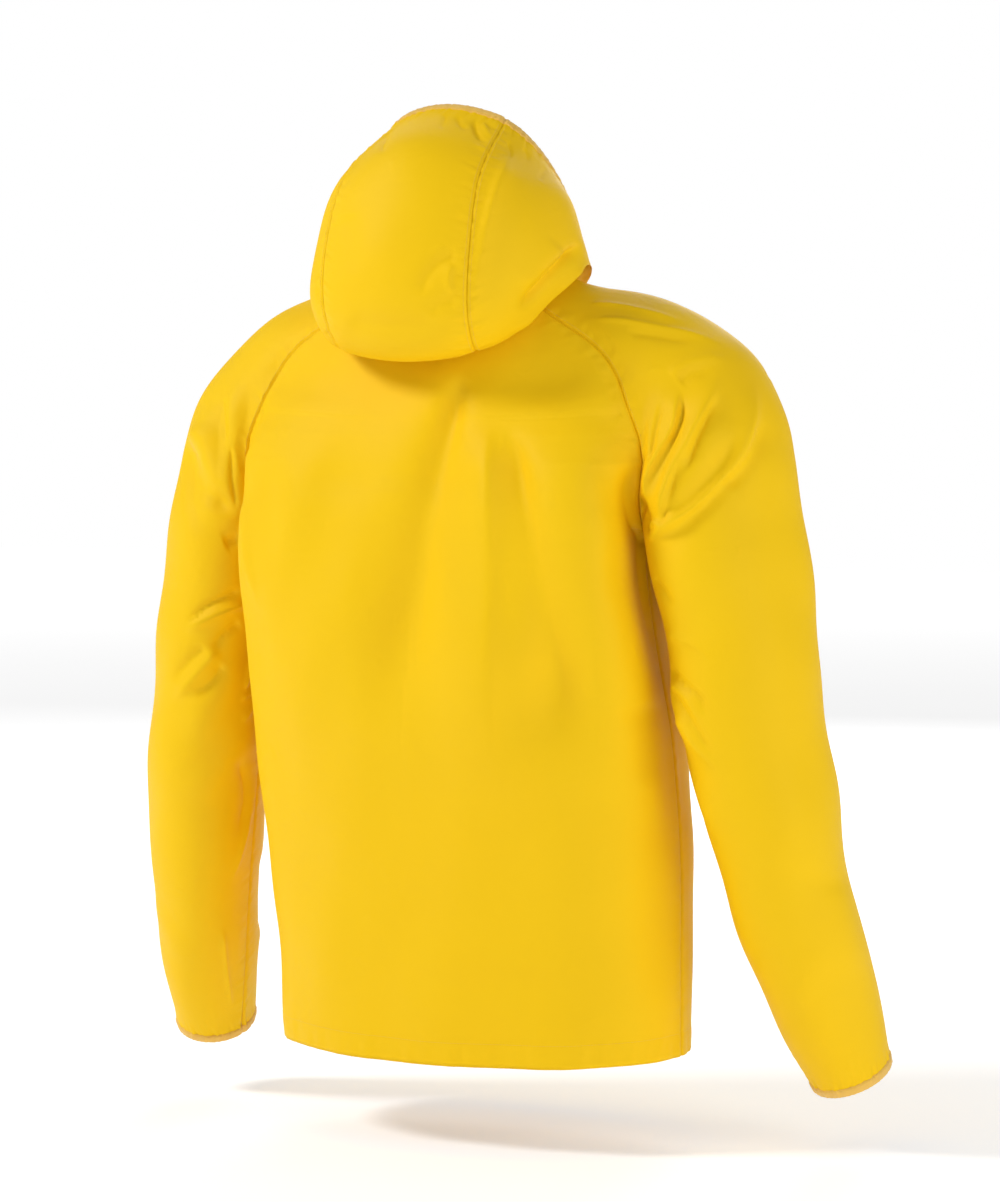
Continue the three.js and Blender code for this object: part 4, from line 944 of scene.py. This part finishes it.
def buildWeave(nodes, links, given, put):
    # plain weave: threads along and across the cloth pass over and under each other, with painted shade darkening the
    # colour where the weave dips
    place = nodes.new("ShaderNodeUVMap")
    place.uv_map = "cloth"
    split = nodes.new("ShaderNodeSeparateXYZ")
    links.new(place.outputs[0], split.inputs[0])
    across = mathNode(nodes, links, "DIVIDE", split.outputs[0], given.outputs["Thread"])
    down = mathNode(nodes, links, "DIVIDE", split.outputs[1], given.outputs["Thread"])
    waveA = mathNode(nodes, links, "SINE", mathNode(nodes, links, "MULTIPLY", across, math.pi))
    waveB = mathNode(nodes, links, "SINE", mathNode(nodes, links, "MULTIPLY", down, math.pi))
    over = mathNode(nodes, links, "MULTIPLY", waveA, waveB)
    links.new(mathNode(nodes, links, "MULTIPLY_ADD", over, 0.5), put.inputs["Height"])
    # painted shade: the colour is multiplied down to 0.8 where the weave is lowest
    shade = nodes.new("ShaderNodeMix")
    shade.data_type = "RGBA"
    shade.blend_type = "MULTIPLY"
    links.new(given.outputs["Strength"], shade.inputs["Factor"])
    links.new(given.outputs["Color"], shade.inputs["A"])
    ramp = nodes.new("ShaderNodeMapRange")
    links.new(over, ramp.inputs["Value"])
    ramp.inputs["From Min"].default_value = -1
    ramp.inputs["To Min"].default_value = 0.8
    links.new(ramp.outputs[0], shade.inputs["B"])
    links.new(shade.outputs["Result"], put.inputs["Color"])


def buildCrinkle(nodes, links, given, put):
    # small ridges of thin cloth that has been folded, in patches
    place = nodes.new("ShaderNodeTexCoord")
    size = mathNode(nodes, links, "DIVIDE", 1, given.outputs["Size"])
    ridges = nodes.new("ShaderNodeTexNoise")
    ridges.noise_type = "RIDGED_MULTIFRACTAL"
    ridges.inputs["Detail"].default_value = 3
    ridges.inputs["Roughness"].default_value = 0.45
    ridges.inputs["Distortion"].default_value = 0.6
    patches = nodes.new("ShaderNodeTexNoise")
    patches.inputs["Detail"].default_value = 2
    for node, scale in ((ridges, size), (patches, mathNode(nodes, links, "MULTIPLY", size, 0.22))):
        links.new(place.outputs["Object"], node.inputs["Vector"])
        links.new(scale, node.inputs["Scale"])
    mask = nodes.new("ShaderNodeMapRange")
    mask.interpolation_type = "SMOOTHSTEP"
    links.new(patches.outputs["Fac"], mask.inputs["Value"])
    mask.inputs["From Min"].default_value = 0.42
    mask.inputs["From Max"].default_value = 0.66
    links.new(mathNode(nodes, links, "MULTIPLY", ridges.outputs["Fac"], mask.outputs[0]), put.inputs["Height"])
    links.new(mask.outputs[0], put.inputs["Mask"])


colour, number = "NodeSocketColor", "NodeSocketFloat"
# the weave's Strength sets how much painted shade lies between its threads
weaveGroup = buildGroup(
    "wovenThreads",
    [("Color", colour, None), ("Thread", number, 0.0004), ("Strength", number, 0.5)],
    [("Color", colour), ("Height", number)], buildWeave)
crinkleGroup = buildGroup(
    "crinkledCloth", [("Size", number, 0.01)], [("Height", number), ("Mask", number)], buildCrinkle)


def newMaterial(name, values):
    material = bpy.data.materials.new(name)
    material.use_nodes = True
    shader = material.node_tree.nodes["Principled BSDF"]
    for socket, value in values.items():
        shader.inputs[socket].default_value = value
    return material, material.node_tree.nodes, material.node_tree.links, shader


def useGroup(nodes, group, **values):
    node = nodes.new("ShaderNodeGroup")
    node.node_tree = group
    for label, value in values.items():
        node.inputs[label].default_value = value
    return node


def bumpChain(nodes, links, shader, layers):
    # each layer is a height and how far it stands out, in metres
    last = None
    for height, distance in layers:
        bump = nodes.new("ShaderNodeBump")
        bump.inputs["Distance"].default_value = distance
        links.new(height, bump.inputs["Height"])
        if last:
            links.new(last.outputs[0], bump.inputs["Normal"])
        last = bump
    links.new(last.outputs[0], shader.inputs["Normal"])


def colourPatches(nodes, links, scale, low, high):
    place = nodes.new("ShaderNodeTexCoord")
    noise = nodes.new("ShaderNodeTexNoise")
    noise.inputs["Scale"].default_value = scale
    noise.inputs["Detail"].default_value = 3
    links.new(place.outputs["Object"], noise.inputs["Vector"])
    blend = nodes.new("ShaderNodeMix")
    blend.data_type = "RGBA"
    blend.inputs["A"].default_value = low
    blend.inputs["B"].default_value = high
    links.new(noise.outputs["Fac"], blend.inputs["Factor"])
    return blend.outputs["Result"], noise.outputs["Fac"]


cloth = {
    "colour": (0.93, 0.59, 0.004, 1),
    "deeper": (0.92, 0.565, 0.003, 1),
    "thread": 0.00034,  # m from thread to thread
    "crinkle": 0.017,
    "roughness": (0.46, 0.6),
}


def clothMaterial():
    material, nodes, links, shader = newMaterial("yellow_cloth", {
        "Specular IOR Level": 0.13, "Sheen Weight": 0.02, "Sheen Roughness": 0.4, "Sheen Tint": (1, 0.75, 0.1, 1)})
    tone, fac = colourPatches(nodes, links, 7, cloth["deeper"], cloth["colour"])
    # the weave lays painted shade between the threads on the cloth's colour
    weave = useGroup(nodes, weaveGroup, Thread=cloth["thread"], Strength=0.35)
    links.new(tone, weave.inputs["Color"])
    links.new(weave.outputs["Color"], shader.inputs["Base Color"])
    crinkle = useGroup(nodes, crinkleGroup, Size=cloth["crinkle"])
    rough = nodes.new("ShaderNodeMapRange")
    rough.inputs["To Min"].default_value, rough.inputs["To Max"].default_value = cloth["roughness"]
    links.new(fac, rough.inputs["Value"])
    links.new(rough.outputs[0], shader.inputs["Roughness"])
    bumpChain(nodes, links, shader, [(crinkle.outputs["Height"], 0.0006), (weave.outputs["Height"], 0.00005)])
    return material


elastic = {
    "colour": (0.96, 0.61, 0.13, 1),
    # the deeper colour is painted shade, laid in the grooves between the ribs
    "deeper": (0.92, 0.54, 0.085, 1),
    "rib": 0.0011,
}


def elasticMaterial():
    material, nodes, links, shader = newMaterial("orange_elastic", {
        "Roughness": 0.72, "Specular IOR Level": 0.3, "Sheen Weight": 0.3, "Sheen Roughness": 0.4})
    place = nodes.new("ShaderNodeUVMap")
    place.uv_map = "cloth"
    ribs = nodes.new("ShaderNodeTexWave")
    ribs.bands_direction = "X"
    ribs.inputs["Scale"].default_value = 0.314 / elastic["rib"]
    ribs.inputs["Distortion"].default_value = 0.6
    ribs.inputs["Detail"].default_value = 1
    links.new(place.outputs[0], ribs.inputs["Vector"])
    # painted shade: the rib grooves take the deeper colour, the rib tops the plain one
    tone = nodes.new("ShaderNodeMix")
    tone.data_type = "RGBA"
    tone.inputs["A"].default_value = elastic["deeper"]
    tone.inputs["B"].default_value = elastic["colour"]
    links.new(ribs.outputs["Fac"], tone.inputs["Factor"])
    # the weave adds painted shade between the threads
    weave = useGroup(nodes, weaveGroup, Thread=0.00045, Strength=0.3)
    links.new(tone.outputs["Result"], weave.inputs["Color"])
    links.new(weave.outputs["Color"], shader.inputs["Base Color"])
    bumpChain(nodes, links, shader, [(ribs.outputs["Fac"], 0.0003), (weave.outputs["Height"], 0.00006)])
    return material


def threadMaterial():
    material, nodes, links, shader = newMaterial("sewing_thread", {"Roughness": 0.55, "Sheen Weight": 0.2})
    place = nodes.new("ShaderNodeTexCoord")
    twist = nodes.new("ShaderNodeTexWave")
    twist.bands_direction = "DIAGONAL"
    twist.inputs["Scale"].default_value = 900
    links.new(place.outputs["Object"], twist.inputs["Vector"])
    tone, _ = colourPatches(nodes, links, 60, (0.78, 0.46, 0.012, 1), (0.9, 0.58, 0.02, 1))
    links.new(tone, shader.inputs["Base Color"])
    bumpChain(nodes, links, shader, [(twist.outputs["Fac"], 0.00006)])
    return material


def tapeMaterial():
    material, nodes, links, shader = newMaterial("zip_tape_weave", {"Roughness": 0.8, "Sheen Weight": 0.2})
    place = nodes.new("ShaderNodeTexCoord")
    lines = nodes.new("ShaderNodeTexWave")
    lines.bands_direction = "X"
    lines.inputs["Scale"].default_value = 320
    links.new(place.outputs["Object"], lines.inputs["Vector"])
    cross = nodes.new("ShaderNodeTexWave")
    cross.bands_direction = "Z"
    cross.inputs["Scale"].default_value = 420
    links.new(place.outputs["Object"], cross.inputs["Vector"])
    tone, _ = colourPatches(nodes, links, 40, (0.66, 0.38, 0.012, 1), (0.74, 0.45, 0.018, 1))
    links.new(tone, shader.inputs["Base Color"])
    bumpChain(nodes, links, shader, [(lines.outputs["Fac"], 0.00015), (cross.outputs["Fac"], 0.0001)])
    return material


def coilMaterial():
    material, nodes, links, shader = newMaterial("zip_coil_nylon", {
        "Specular IOR Level": 0.5, "Subsurface Weight": 0.1, "Subsurface Scale": 0.001})
    tone, fac = colourPatches(nodes, links, 90, (0.72, 0.43, 0.02, 1), (0.82, 0.52, 0.03, 1))
    links.new(tone, shader.inputs["Base Color"])
    rough = nodes.new("ShaderNodeMapRange")
    rough.inputs["To Min"].default_value, rough.inputs["To Max"].default_value = 0.28, 0.42
    links.new(fac, rough.inputs["Value"])
    links.new(rough.outputs[0], shader.inputs["Roughness"])
    return material


def enamelMaterial():
    # satin yellow enamel on metal, worn a little where it rubs
    material, nodes, links, shader = newMaterial("zip_enamel", {"Coat Weight": 0.3, "Coat Roughness": 0.2})
    tone, fac = colourPatches(nodes, links, 160, (0.62, 0.36, 0.03, 1), (0.7, 0.43, 0.05, 1))
    scratch = nodes.new("ShaderNodeTexNoise")
    scratch.inputs["Scale"].default_value = 700
    scratch.inputs["Detail"].default_value = 4
    stretch = nodes.new("ShaderNodeMapping")
    stretch.inputs["Scale"].default_value = (1, 1, 0.15)
    place = nodes.new("ShaderNodeTexCoord")
    links.new(place.outputs["Object"], stretch.inputs["Vector"])
    links.new(stretch.outputs[0], scratch.inputs["Vector"])
    links.new(tone, shader.inputs["Base Color"])
    for socket, low, high in (("Metallic", 0.55, 0.8), ("Roughness", 0.25, 0.45)):
        span = nodes.new("ShaderNodeMapRange")
        span.inputs["To Min"].default_value, span.inputs["To Max"].default_value = low, high
        links.new(fac if socket == "Metallic" else scratch.outputs["Fac"], span.inputs["Value"])
        links.new(span.outputs[0], shader.inputs[socket])
    bumpChain(nodes, links, shader, [(scratch.outputs["Fac"], 0.00003)])
    return material


print("stage: materials")
clothFinish, elasticFinish, threadFinish = clothMaterial(), elasticMaterial(), threadMaterial()
tapeFinish, coilFinish, enamelFinish = tapeMaterial(), coilMaterial(), enamelMaterial()
for node, finish in (("zip_tape_left", tapeFinish), ("zip_tape_right", tapeFinish),
                     ("zip_slider", enamelFinish), ("zip_pull", enamelFinish)):
    mesh = bpy.data.objects[node].data
    mesh.materials.clear()
    mesh.materials.append(finish)


# Bindings: folded elastic over a cut edge, gathered a little
binding = {
    "width": 9.0,
    "past": 1.7,  # how far it stands past the cloth's edge
    "half": 1.55,  # half its thickness
    "gather": 0.2,
    "gatherLength": 6.5,
    "round": 14,  # points round its section
}


def bindingPiece(name, edge, beyond, outward, closed, seed):
    # the section is carried along the cloth's edge; beyond points past the edge, outward out of the cloth
    count = len(edge)
    step = np.linalg.norm(np.diff(edge, axis=0, append=edge[:1] if closed else edge[-1:]), axis=1)
    along = np.concatenate([[0], np.cumsum(step)[:-1]])
    turn = np.linspace(0, 2 * np.pi, binding["round"], endpoint=False)
    flat = np.sign(np.cos(turn)) * np.abs(np.cos(turn)) ** 0.6
    high = np.sign(np.sin(turn)) * np.abs(np.sin(turn)) ** 0.75
    total = along[-1] + step[-1]
    waves = np.round(total / binding["gatherLength"] * np.array([1, 0.63, 1.47]))
    draw = np.random.default_rng(seed)
    gather = sum(np.sin(2 * np.pi * along * n / total + draw.uniform(0, 6.28)) for n in waves) / 2
    half = binding["half"] * (1 + 0.05 * gather)
    mid = binding["past"] - binding["width"] / 2
    reach = binding["width"] / 2 * (1 + 0.03 * np.roll(gather, 3))
    centre = edge + beyond * mid + outward * (binding["gather"] * gather)[:, None] - outward * seams["cloth"] / 2
    points = (centre[:, None] + beyond[:, None] * (reach[:, None] * flat)[..., None]
              + outward[:, None] * (half[:, None] * high)[..., None])
    around = np.cumsum(np.linalg.norm(np.roll(points, -1, 1) - points, axis=2), axis=1)
    uv = np.stack([np.broadcast_to(along[:, None], around.shape), around], -1).reshape(-1, 2)
    verts = points.reshape(-1, 3)
    size = binding["round"]
    rows = count + 1 if closed else count
    faces = quads(rows, size, closed=True)
    if closed:
        faces = faces % (count * size)
    faces = [tuple(f) for f in faces]
    if not closed:
        faces += [tuple(range(size)), tuple(range(len(verts) - 1, len(verts) - size - 1, -1))]
    piece = makeObject(name, verts, faces, elasticFinish, uv)
    fixNormals(piece)
    return piece


def fixNormals(piece):
    work = bmesh.new()
    work.from_mesh(piece.data)
    bmesh.ops.recalc_face_normals(work, faces=work.faces)
    work.to_mesh(piece.data)
    work.free()


def edgeOf(panel):
    shape, normal = panel["shape"], panel["normal"]
    return shape[-1], unit(shape[-1] - shape[-4]), normal[-2]


print("stage: cloth")

clothPieces = {name: shell("cloth_" + name, panel, clothFinish) for name, panel in panels.items()}
edges = {name: edgeOf(panels[name]) for name in ("hood_left", "hood_centre", "hood_right", "sleeve_left", "sleeve_right")}
rim = [np.concatenate([edges["hood_left"][k], edges["hood_centre"][k][1:-1], edges["hood_right"][k][::-1]]) for k in range(3)]
rimPiece = bindingPiece("rim_binding", *rim, False, 21)
cuffPieces = {sideName: bindingPiece("cuff_elastic_" + sideName, *[e[:-1] for e in edges["sleeve_" + sideName]], True, 22)
              for sideName in ("left", "right")}


# Sewing
stitching = {
    "pitch": 3.1,  # mm from stitch to stitch
    "length": 2.3,
    "radius": 0.24,
    "hem": 21.5,  # from the hem's edge
    "zip": 6.0,  # from the front edge
    "seam": 3.2,  # beside the raglan, hood and side seams
}


def alongEdge(panel, edge, away):
    # a line on the panel at a distance from one of its edges, with the cloth's normals
    shape, normal = panel["shape"], panel["normal"]
    if edge in ("first", "last"):
        shape, normal = np.swapaxes(shape, 0, 1), np.swapaxes(normal, 0, 1)
    if edge in ("last", "bottom"):
        shape, normal = shape[::-1], normal[::-1]
    depth = arcAlong(shape[:60], 0)
    i = np.minimum((depth < away).sum(0) - 1, len(depth) - 2)
    columns = np.arange(shape.shape[1])
    t = ((away - depth[i, columns]) / (depth[i + 1, columns] - depth[i, columns]))[:, None]
    return mix(shape[i, columns], shape[i + 1, columns], t), unit(mix(normal[i, columns], normal[i + 1, columns], t))


def resample(line, normal, places):
    along = arcAlong(line, 0)
    pick = lambda values: np.stack([np.interp(places, along, values[:, k]) for k in range(3)], -1)
    return pick(line), unit(pick(normal))


def beads(starts, ends, normals, radius, sides=6):
    # small rounded bars from start to end, as one set of points and faces
    count = len(starts)
    lengthwise = unit(ends - starts)
    aside = unit(np.cross(lengthwise, normals))
    turn = np.linspace(0, 2 * np.pi, sides, endpoint=False)
    ring = (normals[:, None] * np.cos(turn)[None, :, None] * 0.8 + aside[:, None] * np.sin(turn)[None, :, None]) * radius
    places = ((0, 0.45, -0.25), (0.14, 1, 0.05), (0.5, 1.08, 0.2), (0.86, 1, 0.05), (1, 0.45, -0.25))
    rings = [starts[:, None] + (ends - starts)[:, None] * t + ring * size + normals[:, None] * (radius * rise)
             for t, size, rise in places]
    verts = np.stack(rings, 1).reshape(-1, 3)
    block = quads(len(places), sides, closed=True)
    each = len(places) * sides
    faces = [tuple(f) for f in (block[None] + np.arange(count)[:, None, None] * each).reshape(-1, 4)]
    cap = np.arange(sides)
    for k in range(count):
        faces.append(tuple(k * each + cap))
        faces.append(tuple(k * each + each - 1 - cap))
    return verts, faces


def stitchRow(line, normal, margin=4.0):
    total = arcAlong(line, 0)[-1]
    count = int((total - 2 * margin) / stitching["pitch"])
    starts = margin + stitching["pitch"] * np.arange(count)
    a, n = resample(line, normal, starts)
    b, _ = resample(line, normal, starts + stitching["length"])
    return a, b, n


def sew(name, rows, material, radius=None):
    a, b, n = [np.concatenate(part) for part in zip(*rows)]
    verts, faces = beads(a, b, n, radius or stitching["radius"])
    piece = makeObject(name, verts, faces, material)
    fixNormals(piece)
    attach(piece, sewn)
    return piece


print("stage: sewing")
threads = {}
for name, panel in panels.items():
    rows = []
    if panel["kind"] == "body":
        rows.append(stitchRow(*alongEdge(panel, "bottom", stitching["hem"])))
    if name.startswith(("front", "hood_left", "hood_right")):
        rows.append(stitchRow(*alongEdge(panel, "first", stitching["zip"]), 8.0))
    if name.startswith("hood_"):
        rows.append(stitchRow(*alongEdge(panel, "last", stitching["seam"]), 10.0))
    if name.startswith("sleeve"):
        for edgeName in ("first", "last"):
            line, normal = alongEdge(panel, edgeName, stitching["seam"])
            rows.append(stitchRow(line[:fine["raglan"] - 12], normal[:fine["raglan"] - 12], 6.0))
    threads[name] = sew("stitches_" + name, rows, threadFinish)


def bindingStitches(name, edge, beyond, outward):
    # one row near the binding's inner edge, raised to lie on the elastic
    back = binding["width"] - binding["past"] - 1.6
    line = edge - beyond * back + outward * (binding["half"] * 0.93 - seams["cloth"] / 2)
    return sew(name, [stitchRow(line, outward, 3.0)], threadFinish, 0.2)


rimThreads = bindingStitches("stitches_rim", *rim)
cuffThreads = {s: bindingStitches("stitches_cuff_" + s, *edges["sleeve_" + s]) for s in ("left", "right")}

# Zip: the coil's teeth lie over the bars of its tapes
zipper = {
    "pitch": 1.5,  # mm from tooth to tooth on one side
    "near": -0.5,  # each tooth reaches past the middle
    "far": 2.5,
    "radius": 0.46,
    "depth": 0.55,  # below the cloth's outside
    "start": 3.0,
    "endBelowRim": 31.0,  # the slider stands above this
}


def zipTeeth(sideName):
    sign = 1 if sideName == "left" else -1
    front, hoodSide = panels["front_left"], panels["hood_left"]
    line = np.concatenate([front["points"][::-1, 0], hoodSide["points"][1:, 0]])
    out = np.concatenate([front["out"][::-1, 0], hoodSide["out"][1:, 0]])
    out = unit(out * (0, 1, 1))
    total = arcAlong(line, 0)[-1]
    places = np.arange(zipper["start"], total - zipper["endBelowRim"], zipper["pitch"])
    if sideName == "right":
        places = places[:-1] + zipper["pitch"] / 2
    spot, normal = resample(line, out, places)
    ahead, _ = resample(line, out, places + 0.5)
    spot = (spot - normal * zipper["depth"]) * (0, 1, 1)
    lean = (ahead - spot) * (0, 1, 1)
    lean = unit(lean) * 0.25
    a = spot + np.array([sign * zipper["near"], 0, 0]) + lean
    b = spot + np.array([sign * zipper["far"], 0, 0]) - lean
    verts, faces = beads(a, b, normal, zipper["radius"])
    piece = makeObject("zip_coil_" + sideName, verts, faces, coilFinish)
    fixNormals(piece)
    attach(piece, sewn)


for sideName in ("left", "right"):
    zipTeeth(sideName)

print("stage: riding")
for name, piece in clothPieces.items():
    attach(piece, sewn)
    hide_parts(name)
    trims = [threads[name]]
    if name.startswith("sleeve"):
        sideName = name.split("_")[1]
        trims += [cuffPieces[sideName], cuffThreads[sideName]]
    if name == "hood_centre":
        trims += [rimPiece, rimThreads]
for piece, node in ((rimPiece, "hood_binding"), (cuffPieces["left"], "cuff_binding_left"),
                    (cuffPieces["right"], "cuff_binding_right")):
    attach(piece, sewn)
    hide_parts(node)


# Floor, backdrop, light and camera
studio = {
    "floor": -0.765,
    "white": (0.93, 0.93, 0.93, 1),
    "world": 0.33,
    "backdrop": 1.0,
    "glow": ((0.5, 7.5), (0.3, 0.7)),
    "key": {"place": (2.5, 2.1, 2.3), "size": 1.1, "watts": 96},
    "fill": {"place": (-3.2, 1.0, 0.6), "size": 2.2, "watts": 38},
    "front": {"place": (1.0, -3.2, 1.4), "size": 2.4, "watts": 50},
}


def stagePiece(name, corners, faces):
    mesh = bpy.data.meshes.new(name)
    mesh.from_pydata(corners, [], faces)
    piece = bpy.data.objects.new(name, mesh)
    bpy.context.collection.objects.link(piece)
    material, nodes, links, shader = newMaterial(name + "_paint", {"Roughness": 0.9, "Specular IOR Level": 0.1})
    tone, _ = colourPatches(nodes, links, 2, (0.9, 0.9, 0.9, 1), studio["white"])
    links.new(tone, shader.inputs["Base Color"])
    # the paint glows, more so far away, so that floor and backdrop run into each other
    place, far = nodes.new("ShaderNodeTexCoord"), nodes.new("ShaderNodeVectorMath")
    far.operation = "LENGTH"
    links.new(place.outputs["Object"], far.inputs[0])
    glow = nodes.new("ShaderNodeMapRange")
    glow.inputs["From Min"].default_value, glow.inputs["From Max"].default_value = studio["glow"][0]
    glow.inputs["To Min"].default_value, glow.inputs["To Max"].default_value = studio["glow"][1]
    links.new(far.outputs["Value"], glow.inputs["Value"])
    links.new(glow.outputs[0], shader.inputs["Emission Strength"])
    shader.inputs["Emission Color"].default_value = (1, 1, 1, 1)
    mesh.materials.append(material)
    return piece


reach = 9.0
z = studio["floor"]
stagePiece("floor", [(-reach, -reach, z), (reach, -reach, z), (reach, reach, z), (-reach, reach, z)], [(0, 1, 2, 3)])


def softLight(name, values):
    data = bpy.data.lights.new(name, "AREA")
    data.shape = "DISK"
    data.size = values["size"]
    data.energy = values["watts"]
    lamp = bpy.data.objects.new(name, data)
    lamp.location = values["place"]
    aim = Vector((0, 0, -0.28)) - lamp.location
    lamp.rotation_euler = aim.to_track_quat("-Z", "Y").to_euler()
    bpy.context.collection.objects.link(lamp)


for name in ("key", "fill", "front"):
    softLight(name, studio[name])
world = bpy.data.worlds.new("studio")
world.use_nodes = True
around = world.node_tree.nodes
lit = around["Background"]
lit.inputs["Color"].default_value = (1, 1, 1, 1)
lit.inputs["Strength"].default_value = studio["world"]
shown = around.new("ShaderNodeBackground")  # what the camera sees behind the floor
shown.inputs["Color"].default_value = (1, 1, 1, 1)
shown.inputs["Strength"].default_value = studio["backdrop"]
path, choose = around.new("ShaderNodeLightPath"), around.new("ShaderNodeMixShader")
wires = world.node_tree.links
wires.new(path.outputs["Is Camera Ray"], choose.inputs[0])
wires.new(lit.outputs[0], choose.inputs[1])
wires.new(shown.outputs[0], choose.inputs[2])
wires.new(choose.outputs[0], around["World Output"].inputs["Surface"])
bpy.context.scene.world = world
bpy.context.scene.view_settings.view_transform = "Standard"

print("stage: camera")
lens = bpy.data.cameras.new("camera")
lens.sensor_fit = "HORIZONTAL"
lens.sensor_width = 36
lens.lens = 36 * view["distance"] / view["across"]
lens.clip_end = 50
camera = bpy.data.objects.new("camera", lens)
towards = Vector(photo["towards"])
camera.location = Vector(view["target"]) * mm + towards * (view["distance"] * mm)
camera.rotation_euler = (-towards).to_track_quat("-Z", "Y").to_euler()
bpy.context.collection.objects.link(camera)
bpy.context.scene.camera = camera

print("stage: done")
